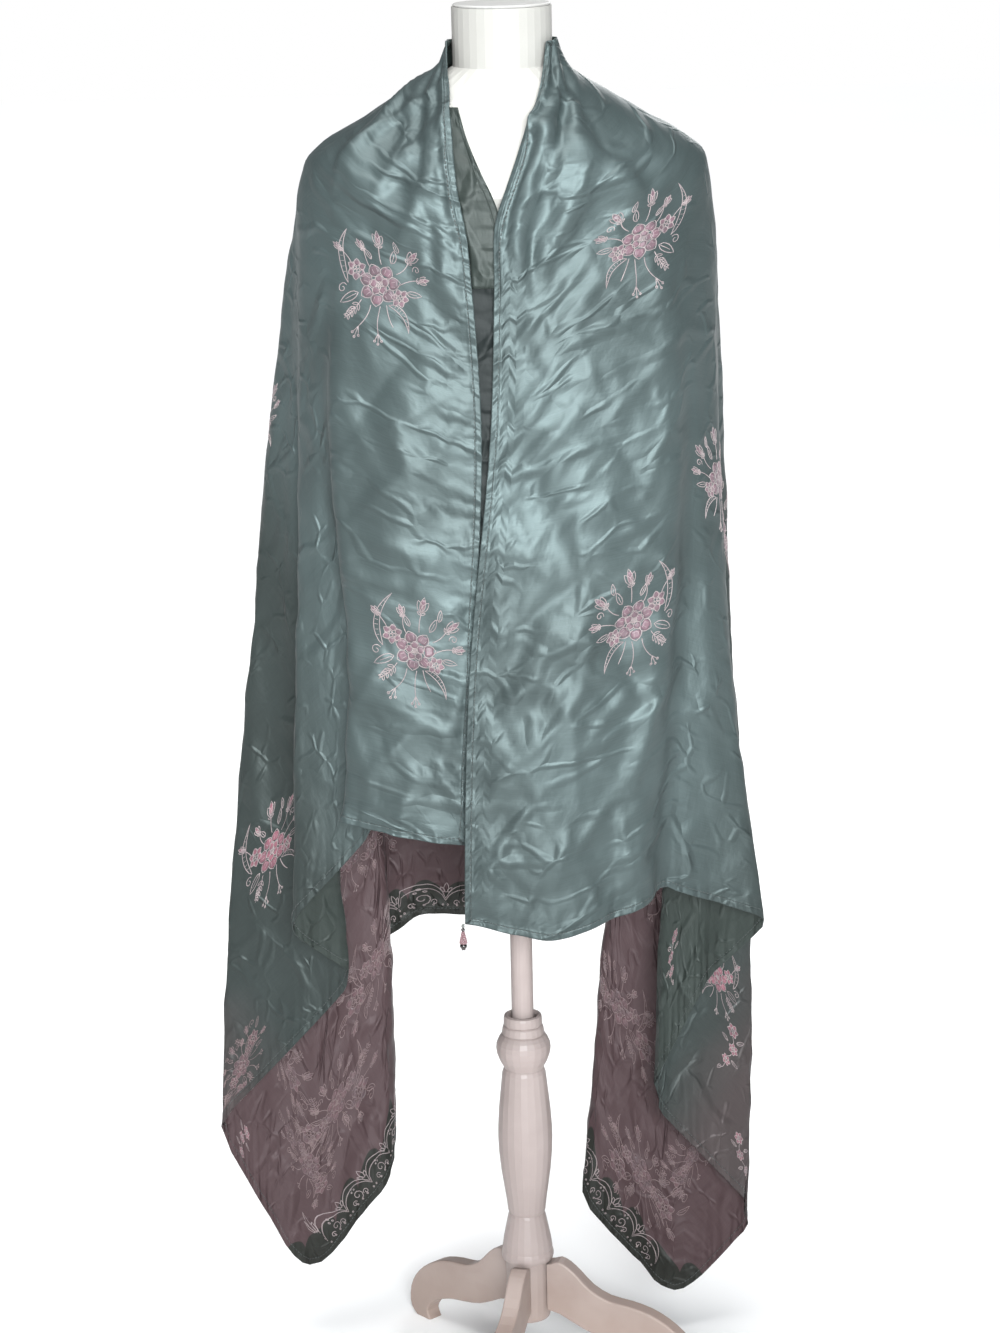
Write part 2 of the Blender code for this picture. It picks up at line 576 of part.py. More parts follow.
def smooth_run(points, parts=2):
    """Points on a smooth curve through the given ones."""
    points = [Vector(point) for point in points]
    padded = [points[0] * 2 - points[1]] + points + [points[-1] * 2 - points[-2]]
    run = []
    for a, b, c, d in zip(padded, padded[1:], padded[2:], padded[3:]):
        for i in range(parts):
            t = i / parts
            run.append((b * 2 + (c - a) * t + (a * 2 - b * 5 + c * 4 - d) * t ** 2
                        + (b * 3 - a - c * 3 + d) * t ** 3) / 2)
    return run + [points[-1]]


def build_leg(name, direction):
    """One shaped plank leg, its inner end against the hub and its flat foot on the floor."""
    outline = smooth_run(LEG_TOP) + smooth_run(LEG_UNDER) + [Vector(p) for p in LEG_STEP]
    mesh = bmesh.new()
    half = LEG_THICKNESS / 2.0
    corners = [mesh.verts.new((p.x / 1000.0, -half, p.y / 1000.0)) for p in outline]
    side = mesh.faces.new(corners)
    swept = bmesh.ops.extrude_face_region(mesh, geom=[side])["geom"]
    moved = [item for item in swept if isinstance(item, bmesh.types.BMVert)]
    bmesh.ops.translate(mesh, verts=moved, vec=(0.0, LEG_THICKNESS, 0.0))
    bmesh.ops.recalc_face_normals(mesh, faces=mesh.faces)
    rims = [edge for edge in mesh.edges if abs(edge.verts[0].co.y - edge.verts[1].co.y) < half
            and not along_foot(edge) and not along_hub(edge)]
    bmesh.ops.bevel(mesh, geom=rims, offset=LEG_EDGE, offset_type="OFFSET", affect="EDGES",
                    segments=2, profile=0.5, material=-1, clamp_overlap=True)
    bmesh.ops.triangulate(mesh, faces=mesh.faces)
    bmesh.ops.recalc_face_normals(mesh, faces=mesh.faces)
    leg = finish_object(name, mesh, math.radians(50))
    leg.data.transform(Matrix.Rotation(math.radians(direction), 4, "Z"))
    return leg


def along_foot(edge):
    return max(vert.co.z for vert in edge.verts) < 0.0005


def along_hub(edge):
    return max(vert.co.x for vert in edge.verts) < 0.0295 and min(v.co.z for v in edge.verts) > 0.06


def paint(item, finish_name):
    """Give a piece its material, made once for each finish."""
    finish = FINISHES[finish_name]
    material = bpy.data.materials.get(finish_name) or bpy.data.materials.new(finish_name)
    material.use_nodes = True
    shader = material.node_tree.nodes["Principled BSDF"]
    shader.inputs["Base Color"].default_value = (*finish.colour, 1.0)
    shader.inputs["Roughness"].default_value = finish.roughness
    shader.inputs["Metallic"].default_value = finish.metal
    item.data.materials.append(material)


def centre_on_floor(items):
    """Move everything so that the middle of the whole box's underside is the origin."""
    corners = np.array([tuple(v.co) for item in items for v in item.data.vertices])
    low, high = corners.min(axis=0), corners.max(axis=0)
    shift = Matrix.Translation((-(low[0] + high[0]) / 2.0, -(low[1] + high[1]) / 2.0, -low[2]))
    for item in items:
        item.data.transform(shift)
        item.data.update()


def main():
    remove_everything()
    cloth = build_cloth() + [build_turn_in(), build_turn_under()]
    for piece in cloth:
        paint(piece, "silk_mauve" if piece.name.startswith(("tail", "back")) else "silk_sage")
    drop = build_drop()
    paint(drop, "beads")
    torso, cap = build_form()
    paint(torso, "form_white")
    paint(cap, "cap_grey")
    stand = [build_pole(), turned("post", POST_PROFILE), turned("hub", HUB_PROFILE)]
    stand += [build_leg(name, direction) for name, direction in LEG_DIRECTIONS.items()]
    for piece in stand:
        paint(piece, "painted_wood")
    centre_on_floor(cloth + [drop, torso, cap] + stand)


main()
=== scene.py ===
"""The looks of a long silk scarf worn as a shawl on its dress form: satin with its creases, narrow
hems and printed flowers, the beaded drop, and the finishes of the form and its turned stand."""
import math
from collections import namedtuple

import bmesh
import bpy
import numpy as np
from mathutils import Matrix, Vector


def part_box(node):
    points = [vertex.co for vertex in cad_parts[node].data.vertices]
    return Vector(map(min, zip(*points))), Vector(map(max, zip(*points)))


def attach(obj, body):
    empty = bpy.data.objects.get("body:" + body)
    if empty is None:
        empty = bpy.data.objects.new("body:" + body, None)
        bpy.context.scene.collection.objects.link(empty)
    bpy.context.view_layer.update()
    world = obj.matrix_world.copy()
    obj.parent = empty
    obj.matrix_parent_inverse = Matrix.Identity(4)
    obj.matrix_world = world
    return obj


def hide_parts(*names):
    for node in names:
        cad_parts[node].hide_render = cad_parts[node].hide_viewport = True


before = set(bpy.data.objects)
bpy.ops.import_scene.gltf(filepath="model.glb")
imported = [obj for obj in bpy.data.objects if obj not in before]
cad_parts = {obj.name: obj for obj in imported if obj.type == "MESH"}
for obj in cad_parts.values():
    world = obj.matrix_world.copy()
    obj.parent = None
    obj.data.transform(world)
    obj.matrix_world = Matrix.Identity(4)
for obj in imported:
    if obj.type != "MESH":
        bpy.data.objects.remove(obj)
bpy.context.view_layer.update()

# The middle of the stand, which the cloth's plan places are measured from
hub_low, hub_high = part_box("hub")
AXIS = np.array(((hub_low[0] + hub_high[0]) / 2.0, (hub_low[1] + hub_high[1]) / 2.0, 0.0))


# Cloth and collar sizes, as the solids have them
NAPE = 1.402             # top edge of the cloth round the neck
YOKE_LOW = 1.185         # below this the folds hang free, above it they join
YOKE_HIGH = 1.270        # above this the cloth lies on the form
# Plan half-width and half-depth (mm) of the cloth on the shoulders
Ring = namedtuple("Ring", "height half_width half_depth")
SHOULDER_RINGS = tuple(Ring(*row) for row in (
    (1.4200, 51.5, 51.5), (1.3950, 54.5, 53.5), (1.3740, 66.0, 58.0), (1.3580, 90.0, 65.0),
    (1.3430, 116.0, 72.5), (1.3270, 142.0, 80.5), (1.3110, 171.0, 88.5), (1.2960, 190.0, 96.0),
    (1.2760, 198.0, 104.0), (1.2400, 202.5, 111.0), (1.1800, 203.0, 119.0),
))
# Folds, from the left front edge round the back to the right front edge.  Each row has the
# share of the way round the shoulders where it starts, the height of the hem at its foot, the
# length of cloth that turns at it (mm), and its plan place (mm) at the five heights below.
FOLD_HEIGHTS = (1.24, 1.05, 0.80, 0.50, 0.10)
Fold = namedtuple("Fold", "name share hem turn x y")
LEFT_FOLDS = (
    Fold("front_edge", 0.00, 0.627, 5, (-38, -28, -42, -62, -62), (-107, -129, -130, -127, -127)),
    Fold("front_middle", 0.15, 0.638, 30, (-95, -98, -105, -118, -118), (-102, -131, -138, -139, -139)),
    Fold("front_crest", 0.28, 0.652, 16, (-152, -176, -170, -198, -198), (-80, -106, -116, -119, -119)),
    Fold("front_valley", 0.34, 0.632, 16, (-171, -176, -146, -142, -142), (-66, -82, -82, -76, -76)),
    Fold("side_crest", 0.40, 0.519, 18, (-197, -209, -226, -242, -242), (-40, -50, -57, -58, -58)),
    Fold("side_valley", 0.44, 0.452, 16, (-205, -206, -192, -172, -168), (-14, -24, -24, -20, -20)),
    Fold("outer_crest", 0.48, 0.268, 20, (-211, -243, -277, -314, -335), (12, 17, 26, 33, 34)),
    Fold("tail_corner", 0.57, 0.074, 40, (-198, -214, -223, -230, -236), (46, 52, 54, 52, 50)),
    Fold("tail_crest", 0.66, 0.200, 10, (-170, -166, -153, -139, -138), (66, 74, 74, 70, 68)),
    Fold("tail_turn", 0.70, 0.245, 10, (-156, -162, -153, -139, -138), (76, 92, 96, 92, 90)),
    Fold("back_fold", 0.75, 0.350, 9, (-140, -176, -204, -220, -220), (86, 100, 108, 110, 108)),
    Fold("back_turn", 0.78, 0.378, 9, (-126, -168, -202, -220, -220), (93, 114, 126, 130, 128)),
    Fold("back_middle", 0.87, 0.462, 40, (-74, -90, -102, -108, -108), (108, 129, 142, 149, 149)),
)
CENTRE_BACK = Fold("centre_back", 1.00, 0.452, 40, (0, 0, 0, 0, 0), (114, 131, 141, 147, 147))
RIGHT_FOLDS = (
    Fold("front_edge", 0.00, 0.549, 5, (-11, -19, -46, -57, -57), (-110, -133, -140, -142, -142)),
    Fold("front_middle", 0.20, 0.530, 30, (66, 62, 46, 28, 28), (-107, -137, -146, -149, -149)),
    Fold("front_crest", 0.31, 0.553, 16, (146, 161, 147, 118, 118), (-84, -108, -118, -122, -122)),
    Fold("front_valley", 0.36, 0.566, 14, (166, 172, 158, 137, 137), (-68, -84, -85, -86, -86)),
    Fold("side_crest", 0.41, 0.517, 18, (193, 203, 220, 256, 256), (-38, -48, -52, -54, -54)),
    Fold("side_pleat", 0.44, 0.440, 12, (203, 206, 204, 192, 192), (-16, -24, -22, -18, -18)),
    Fold("side_valley", 0.47, 0.298, 16, (207, 200, 172, 137, 126), (-2, -4, 2, 6, 8)),
    Fold("outer_crest", 0.50, 0.146, 20, (204, 218, 231, 250, 250), (14, 30, 42, 46, 46)),
    Fold("tail_corner", 0.57, 0.036, 40, (192, 194, 186, 174, 164), (46, 60, 66, 66, 64)),
    Fold("tail_crest", 0.66, 0.152, 10, (170, 154, 124, 92, 56), (66, 78, 82, 80, 78)),
    Fold("tail_turn", 0.70, 0.200, 10, (156, 150, 124, 94, 60), (76, 96, 104, 102, 100)),
    Fold("back_fold", 0.75, 0.320, 9, (140, 170, 190, 204, 208), (86, 103, 113, 116, 114)),
    Fold("back_turn", 0.78, 0.348, 9, (126, 162, 188, 204, 208), (93, 117, 131, 135, 133)),
    Fold("back_middle", 0.87, 0.448, 40, (74, 90, 100, 106, 106), (108, 130, 144, 151, 151)),
)
FOLDS = LEFT_FOLDS + (CENTRE_BACK,) + RIGHT_FOLDS[::-1]
LAST = len(FOLDS) - 1

# Where the two front edges lie across the chest: height and distance from the centre (mm)
LEFT_EDGE = ((1.42, -50), (1.40, -52), (1.36, -50), (1.28, -46), (1.18, -29))
RIGHT_EDGE = ((1.42, 44), (1.40, 41), (1.36, 34), (1.30, 12), (1.24, -10), (1.18, -20))

# Stations where the three runs of the silk meet, hidden in the deep folds of the back
STRETCH_ENDS = (9.5, LAST - 10.5)

# Rolled front edges: where the rolls fade out, and how far they stand off the form
COLLAR_FULL = 1.250
COLLAR_FOOT = 1.130
COLLAR_HIGH = 1.320      # from here up to the neck the rolls flatten, to this share less
COLLAR_CALM = 0.75
LEFT_ROLL = 0.0060
RIGHT_ROLL = 0.0065
RIGHT_LIFT = 0.0045
COLLAR_SPAN = 0.75       # share of the first cell beside an edge that the roll takes up

# Broad creases: the station and height of the middle, metres of cloth to a station there, the
# half width, the half length and the lean from upright (top to the left), and the height (m)
Crease = namedtuple("Crease", "station height cell width length lean depth")
SOFT_FOLDS = tuple(Crease(*row) for row in (
    (0.95, 1.262, 0.060, 0.014, 0.060, 38.0, 0.0060),
    (1.45, 1.285, 0.065, 0.013, 0.045, 22.0, 0.0050),
    (0.55, 1.190, 0.060, 0.016, 0.060, 30.0, 0.0045),
    (1.10, 0.990, 0.070, 0.026, 0.120, -8.0, 0.0050),
    (0.80, 0.800, 0.070, 0.024, 0.090, 14.0, -0.0045),
    (5.60, 0.760, 0.090, 0.024, 0.160, 4.0, -0.0045),
    (6.60, 0.400, 0.110, 0.028, 0.150, -8.0, 0.0060),
    (LAST - 0.90, 1.270, 0.085, 0.015, 0.060, 52.0, 0.0060),
    (LAST - 1.30, 1.225, 0.085, 0.016, 0.060, 40.0, 0.0050),
    (LAST - 0.65, 0.970, 0.090, 0.018, 0.090, 26.0, -0.0050),
    (LAST - 1.20, 0.880, 0.095, 0.026, 0.120, -6.0, 0.0055),
    (LAST - 0.70, 0.690, 0.095, 0.026, 0.090, 10.0, 0.0050),
    (LAST - 3.50, 0.780, 0.080, 0.022, 0.140, -4.0, 0.0045),
    (LAST - 7.60, 0.380, 0.100, 0.026, 0.140, 8.0, 0.0060),
    (12.10, 0.900, 0.110, 0.034, 0.220, 8.0, 0.0080),
    (13.80, 0.820, 0.110, 0.034, 0.240, -6.0, 0.0080),
    (13.00, 1.090, 0.110, 0.030, 0.130, 4.0, -0.0060),
))

# The turned-in strip that shows inside the left edge: height, and its two sides (mm)
TURN_IN = ((1.345, -56, -44), (1.320, -53, -37), (1.290, -51, -25), (1.262, -46, -12),
           (1.240, -41, -13), (1.215, -34, -18), (1.203, -30, -21))
TURN_IN_DROP = -0.0018   # the strip lies this much lower than the cloth round it

# The turned-under edge of the right front, dark in the gap between the two front edges: height,
# then the far and near side across the chest and how far forward each of them lies (mm)
TURN_UNDER = (
    (1.190, -42, -8, -112.0, -114.0),
    (1.155, -42, -7, -116.0, -117.4),
    (1.120, -42, -6, -119.0, -120.6),
    (1.050, -41, -8, -125.6, -127.4),
    (0.960, -43, -14, -128.4, -130.4),
    (0.880, -47, -24, -127.4, -129.2),
    (0.830, -50, -36, -127.0, -127.8),
)

# Where each fold lies on the flat cut (m): along the long side from the middle and across from
# the neck edge, at its start on the shoulders and at its foot
Flat = namedtuple("Flat", "start_along start_across foot_along foot_across")
LEFT_FLAT = tuple(Flat(*row) for row in (
    (0.12, 0.00, 0.92, 0.00), (0.13, 0.07, 0.92, 0.07), (0.14, 0.13, 0.92, 0.14),
    (0.15, 0.16, 0.92, 0.20), (0.16, 0.18, 0.92, 0.31), (0.16, 0.19, 0.92, 0.42),
    (0.16, 0.20, 0.92, 0.64), (0.15, 0.20, 0.92, 1.00), (0.13, 0.16, 0.74, 1.00),
    (0.12, 0.13, 0.68, 1.00), (0.10, 0.10, 0.54, 1.00), (0.09, 0.08, 0.50, 1.00),
    (0.05, 0.04, 0.22, 1.00),
))
MIDDLE_FLAT = Flat(0.00, 0.02, 0.00, 1.00)
RIGHT_FLAT = tuple(Flat(*row) for row in (
    (0.12, 0.00, 1.00, 0.00), (0.13, 0.09, 1.00, 0.10), (0.14, 0.16, 1.00, 0.20),
    (0.15, 0.18, 1.00, 0.25), (0.16, 0.19, 1.00, 0.36), (0.16, 0.20, 1.00, 0.43),
    (0.16, 0.20, 1.00, 0.53), (0.16, 0.21, 1.00, 0.70), (0.15, 0.20, 1.00, 1.00),
    (0.13, 0.16, 0.80, 1.00), (0.12, 0.13, 0.72, 1.00), (0.10, 0.10, 0.56, 1.00),
    (0.09, 0.08, 0.52, 1.00), (0.05, 0.04, 0.23, 1.00),
))
FLATS = LEFT_FLAT + (MIDDLE_FLAT,) + RIGHT_FLAT[::-1]

# The fine cloth: spacing of its columns, rows on the shoulders and below them, and how far from
# an edge the closer rows and columns of the narrow hem lie
FINE = 0.0050
SHOULDER_ROWS = 44
HANGING_ROWS = 160
HEM_STEPS = (0.0, 0.0012, 0.0030, 0.0050, 0.0064, 0.0078, 0.0100, 0.0135, 0.0180)
HEM_WIDTH = 0.0070
SILK_THICK = 0.00045
HEM_THICK = 0.0013
LONG_EDGE_FIRST = 7.0        # stations between which the foot of the cloth is its long edge
LONG_EDGE_LAST = LAST - 8.0
CORNER_SPAN = 0.6            # stations round its ends where the foot is rounded more,
CORNER_REACH = 0.25          # over so many stations each way,
FOLD_REACH = 0.10            # and over so many elsewhere
CENTRE_STATION = 13.0
DEEPEST_ON_FORM = -0.0024    # creases on the shoulders dip no further than this
DEEPEST_FREE = -0.0070

# Creases on the two fronts: middle across the chest and up (mm), half length and
# half width (mm), lean from upright (degrees, top to the left), bend and height (mm)
FrontCrease = namedtuple("FrontCrease", "across up length width lean bend height")
LEFT_CREASES = tuple(FrontCrease(*row) for row in (
    (-96, 1322, 34, 9, 58, 0.10, -3.6), (-112, 1346, 40, 8, 40, 0.00, 3.2),
    (-128, 1318, 55, 9, -24, 0.12, 3.4), (-104, 1290, 60, 10, -34, 0.10, 3.8),
    (-84, 1262, 62, 8, -38, 0.08, 3.6), (-70, 1300, 52, 8, -14, 0.05, 2.8),
    (-118, 1262, 58, 11, -46, 0.10, -3.4), (-92, 1236, 50, 8, -52, 0.08, 2.8),
    (-60, 1222, 46, 7, -22, 0.04, 3.2), (-52, 1186, 30, 7, -8, 0.00, 3.4),
    (-76, 1176, 44, 9, 34, 0.06, -2.4), (-128, 1200, 52, 10, -58, 0.10, 2.4),
    (-142, 1150, 60, 10, 16, 0.05, 2.6), (-100, 1132, 42, 8, 62, 0.00, 2.2),
    (-66, 1118, 50, 8, 24, 0.05, 2.6), (-120, 1090, 48, 9, -36, 0.06, -2.6),
    (-84, 1066, 44, 8, -62, 0.00, 2.4), (-148, 1046, 50, 9, 28, 0.00, 2.2),
    (-58, 1040, 40, 7, -30, 0.05, 2.4), (-104, 1010, 56, 10, 18, 0.08, 3.0),
    (-132, 976, 44, 8, -48, 0.00, 2.4), (-76, 972, 48, 9, 52, 0.06, -2.8),
    (-52, 944, 36, 7, 16, 0.00, 2.4), (-112, 930, 46, 9, 70, 0.00, 2.2),
    (-92, 892, 50, 9, -26, 0.08, 2.8), (-140, 884, 42, 8, 30, 0.00, 2.4),
    (-62, 868, 40, 8, -54, 0.00, 2.4), (-120, 836, 46, 9, -18, 0.05, -2.6),
    (-82, 812, 44, 8, 40, 0.06, 2.6), (-146, 790, 50, 9, -30, 0.06, 2.8),
    (-104, 762, 48, 9, 64, 0.00, 2.6), (-64, 760, 44, 8, -12, 0.05, 2.8),
    (-124, 728, 46, 9, -44, 0.08, 3.2), (-88, 706, 50, 10, 24, 0.00, -3.2),
    (-150, 700, 40, 8, 20, 0.00, 2.6), (-66, 684, 40, 9, 36, 0.06, 3.2),
    (-112, 672, 38, 9, -16, 0.00, 3.0), (-136, 664, 30, 8, 12, 0.00, -2.8),
))
RIGHT_CREASES = tuple(FrontCrease(*row) for row in (
    (34, 1318, 58, 9, 34, -0.08, 3.4), (52, 1300, 66, 9, 48, -0.10, 3.6),
    (76, 1306, 60, 9, 62, -0.08, 3.2), (38, 1268, 62, 9, 26, -0.06, -3.2),
    (60, 1256, 60, 9, 40, -0.08, 3.2), (98, 1278, 60, 10, 72, -0.06, 2.6),
    (20, 1232, 56, 8, 18, -0.05, 3.2), (46, 1212, 56, 9, 32, 0.00, 2.6),
    (116, 1224, 56, 10, 54, -0.06, -2.4), (84, 1196, 52, 9, 40, 0.00, 2.6),
    (18, 1176, 50, 8, 10, 0.00, 3.0), (142, 1182, 56, 10, 24, 0.05, 2.4),
    (58, 1150, 50, 9, -40, 0.05, 2.4), (104, 1136, 50, 9, 58, 0.00, 2.4),
    (12, 1122, 46, 8, 36, 0.05, -2.6), (38, 1090, 52, 9, -28, 0.00, 2.6),
    (82, 1082, 48, 9, 22, 0.06, 2.6), (128, 1084, 50, 9, -50, 0.00, 2.4),
    (4, 1056, 52, 8, -34, 0.04, 3.2), (22, 1018, 62, 8, -38, 0.03, 3.8),
    (44, 968, 62, 8, -34, 0.03, 3.6), (64, 1030, 44, 9, 66, 0.00, 2.4),
    (104, 1024, 46, 9, 30, 0.06, -2.8), (142, 1010, 44, 8, -20, 0.00, 2.4),
    (84, 968, 50, 9, -56, 0.05, 2.8), (-6, 972, 44, 8, 24, 0.05, -2.8),
    (12, 924, 48, 8, 50, 0.00, 2.6), (122, 936, 48, 9, 44, 0.00, 2.6),
    (66, 912, 46, 9, 12, 0.06, 3.0), (34, 872, 50, 9, -48, 0.05, -3.0),
    (98, 874, 50, 9, -24, 0.05, 2.8), (-14, 862, 44, 8, 12, 0.00, 3.0),
    (140, 860, 44, 8, 36, 0.00, 2.4), (62, 830, 48, 9, 58, 0.00, 2.6),
    (10, 812, 50, 9, -22, 0.06, 3.2), (108, 806, 48, 9, 26, 0.05, -2.8),
    (42, 778, 46, 9, 34, 0.00, 3.0), (84, 756, 50, 9, -40, 0.06, 3.0),
    (-18, 756, 46, 8, 30, 0.05, -3.0), (14, 730, 46, 9, -58, 0.00, 2.8),
    (128, 738, 46, 9, -14, 0.00, 2.6), (54, 704, 50, 10, 10, 0.06, 3.2),
    (100, 690, 44, 9, 46, 0.00, 2.8), (-22, 686, 44, 9, -16, 0.05, 3.2),
    (16, 660, 46, 9, 30, 0.00, -3.2), (74, 648, 44, 9, -34, 0.05, 3.2),
    (38, 616, 40, 9, -10, 0.00, 3.4), (108, 622, 42, 9, 14, 0.00, 3.0),
    (-12, 612, 38, 8, 40, 0.00, 2.8), (66, 584, 34, 9, 26, 0.00, 3.2),
    (8, 574, 32, 8, -24, 0.00, 3.0), (-34, 590, 30, 8, 6, 0.00, 2.8),
))

# Folds that run beside the front edges at the neck, where the right one is rolled back:
# distance from the edge, half width and height (mm)
ROLLED_FOLDS = ((6.0, 3.0, 2.6), (12.5, 2.6, -2.6), (21.0, 5.0, 5.6), (35.0, 5.0, -4.6),
                (50.0, 7.0, 2.6))
GATHERED_FOLDS = ((8.0, 3.2, 1.8), (15.0, 3.0, -1.6), (23.0, 4.0, 2.6), (33.0, 4.5, -1.8),
                  (44.0, 6.0, 2.2))

# Long soft waves of the hanging sides, tails and back: station, height of the middle (m), half
# length (m), half width (mm), lean (degrees) and height (mm)
LongWave = namedtuple("LongWave", "station up length width lean height")
LONG_WAVES = tuple(LongWave(*row) for row in (
    (3.5, 0.95, 0.26, 12, 3, 2.6), (4.6, 0.80, 0.24, 12, -4, -2.4), (5.35, 0.90, 0.22, 10, 4, 2.8),
    (5.75, 0.62, 0.20, 12, -5, 3.0), (6.30, 0.74, 0.26, 11, 3, 2.8),
    (6.62, 0.46, 0.20, 12, -6, -3.2), (6.50, 1.05, 0.16, 11, -3, -2.4),
    (7.30, 0.60, 0.24, 14, 4, 3.4), (7.62, 0.34, 0.14, 13, 14, 3.6),
    (7.45, 0.24, 0.12, 12, -22, -3.4), (7.80, 0.92, 0.22, 12, -3, 2.8),
    (9.60, 0.80, 0.22, 12, 2, 2.6), (11.35, 1.02, 0.20, 15, 5, 3.6),
    (11.70, 0.70, 0.22, 15, -4, 4.0), (12.40, 1.12, 0.16, 16, -6, 3.4),
    (12.65, 0.64, 0.20, 14, 4, -3.6), (13.40, 0.96, 0.24, 15, 3, 3.8),
    (13.75, 0.60, 0.16, 14, -5, 3.4), (14.45, 0.82, 0.24, 15, -3, -3.6),
    (14.80, 1.12, 0.16, 14, 6, 3.2), (14.90, 0.66, 0.20, 15, 4, 3.8),
    (LAST - 3.45, 0.92, 0.26, 12, -3, 2.6), (LAST - 4.5, 0.74, 0.22, 10, 4, 2.4),
    (LAST - 6.45, 0.70, 0.24, 11, -4, 2.8), (LAST - 7.35, 0.60, 0.26, 12, 4, 3.2),
    (LAST - 7.65, 0.36, 0.18, 12, -5, -3.2), (LAST - 7.50, 0.98, 0.18, 11, 3, 2.6),
    (LAST - 8.35, 0.52, 0.24, 13, -4, 3.4), (LAST - 8.65, 0.28, 0.14, 12, -16, 3.4),
    (LAST - 8.45, 0.17, 0.10, 11, 20, -3.0), (LAST - 8.75, 0.90, 0.22, 12, 3, 2.6),
    (LAST - 10.6, 0.78, 0.22, 12, -2, 2.6),
))

# Crumple all over, as pressed silk keeps it: families of straight creases with flat facets
# between them. Their direction (degrees), distance apart (m), depth (m), how much they bend and
# where they start, and below them the share of them on each run of the cloth
Crumple = namedtuple("Crumple", "turn pitch depth bend start")
CRUMPLES = tuple(Crumple(*row) for row in (
    (28, 0.083, 0.0030, 0.22, 0.3), (-37, 0.067, 0.0026, 0.26, 1.7), (71, 0.094, 0.0027, 0.20, 2.9),
    (-8, 0.058, 0.0019, 0.30, 4.1), (49, 0.043, 0.0015, 0.24, 5.3), (-63, 0.037, 0.0013, 0.28, 6.6),
    (12, 0.026, 0.0007, 0.30, 8.2),
))
CRUMPLE_STATIONS = (0, 2.0, 3.0, 6.0, 7.2, 9.0, 13.5, 18.0, 19.5, 20.5, 24.0, 25.0, LAST)
CRUMPLE_SHARES = (1.0, 1.0, 0.7, 0.6, 0.6, 0.6, 0.8, 0.6, 0.6, 0.6, 0.7, 1.0, 1.0)


# Size of the slack waves along the foot (m)
HEM_WAVE_STATIONS = (0, 2.2, 3.0, 5.5, 7.0, 9.0, 12.0, 15.0, 18.0, 20.0, 23.5, 24.8, LAST)
HEM_WAVE_SIZES = (0.0010, 0.0010, 0.0016, 0.0024, 0.0040, 0.0024, 0.0034, 0.0034, 0.0030, 0.0040, 0.0018,
                  0.0012, 0.0012)


def smooth_step(value):
    value = np.clip(value, 0.0, 1.0)
    return value * value * (3.0 - 2.0 * value)


def smooth_table(heights, values, at):
    """Rows of a table at many heights, on a smooth curve through its rows."""
    order = np.argsort(heights)
    knots = np.asarray(heights, float)[order]
    rows = np.asarray(values, float)[order]
    slope = np.gradient(rows, knots, axis=0)
    at = np.clip(np.asarray(at, float), knots[0], knots[-1])
    cell = np.clip(np.searchsorted(knots, at) - 1, 0, len(knots) - 2)
    span = (knots[cell + 1] - knots[cell])[:, None]
    part = (at - knots[cell])[:, None] / span
    rise = part * part * (3.0 - 2.0 * part)
    start = part * (1.0 - part) ** 2 * span
    finish = -part * part * (1.0 - part) * span
    return (rows[cell] * (1.0 - rise) + rows[cell + 1] * rise
            + slope[cell] * start + slope[cell + 1] * finish)


def fold_line(index, heights):
    """Plan places of one fold down its length."""
    fold = FOLDS[index]
    return smooth_table(FOLD_HEIGHTS, list(zip(fold.x, fold.y)), heights) / 1000.0


def hanging_places(station, heights):
    """Plan places down one column of the hanging cloth, rounded at the folds."""
    nearest = int(round(station))
    cell = min(int(station), LAST - 1)
    here, there = fold_line(cell, heights), fold_line(cell + 1, heights)
    straight = here + (there - here) * (station - cell)
    if nearest in (0, LAST):
        return straight
    back, fold, ahead = (fold_line(nearest + step, heights) for step in (-1, 0, 1))
    length = FOLDS[nearest].turn / 1000.0
    before = np.minimum(0.45, length / np.linalg.norm(fold - back, axis=1))[:, None]
    after = np.minimum(0.45, length / np.linalg.norm(ahead - fold, axis=1))[:, None]
    reach = station - nearest
    start = fold + (back - fold) * before
    finish = fold + (ahead - fold) * after
    part = np.clip((reach + before) / (before + after), 0.0, 1.0)
    turned = start * (1.0 - part) ** 2 + fold * 2.0 * part * (1.0 - part) + finish * part ** 2
    return np.where((reach > -before) & (reach < after), turned, straight)


def ring_sizes(heights):
    table = [(ring.half_width, ring.half_depth) for ring in SHOULDER_RINGS]
    return smooth_table([ring.height for ring in SHOULDER_RINGS], table, heights).T / 1000.0


def edge_angles(edge, heights):
    offset = smooth_table([row[0] for row in edge], [[row[1]] for row in edge], heights)[:, 0] / 1000.0
    return np.arcsin(np.clip(offset / ring_sizes(heights)[0], -0.999, 0.999))


def shoulder_places(station, heights):
    """Plan places down one column where the cloth lies on the shoulders and round the neck."""
    shares = [fold.share for fold in LEFT_FOLDS] + [1.0] + [2.0 - f.share for f in RIGHT_FOLDS[::-1]]
    share = float(np.interp(station, range(len(FOLDS)), shares))
    if share <= 1.0:
        edge = edge_angles(LEFT_EDGE, heights)
        angle = edge - share * (math.pi + edge)
    else:
        edge = edge_angles(RIGHT_EDGE, heights)
        angle = edge + (2.0 - share) * (math.pi - edge)
    half_width, half_depth = ring_sizes(heights)
    return np.stack((half_width * np.sin(angle), -half_depth * np.cos(angle)), axis=1)


def hem_height(station):
    """Height of the foot of the cloth, rounded off at the folds and more at its two corners."""
    from_corner = min(abs(station - LONG_EDGE_FIRST), abs(station - LONG_EDGE_LAST))
    reach = CORNER_REACH if from_corner < CORNER_SPAN else FOLD_REACH
    near = np.clip(station + reach * np.array((-1.0, -0.5, 0.0, 0.5, 1.0)), 0.0, LAST)
    return float(np.interp(near, range(len(FOLDS)), [fold.hem for fold in FOLDS]).mean())


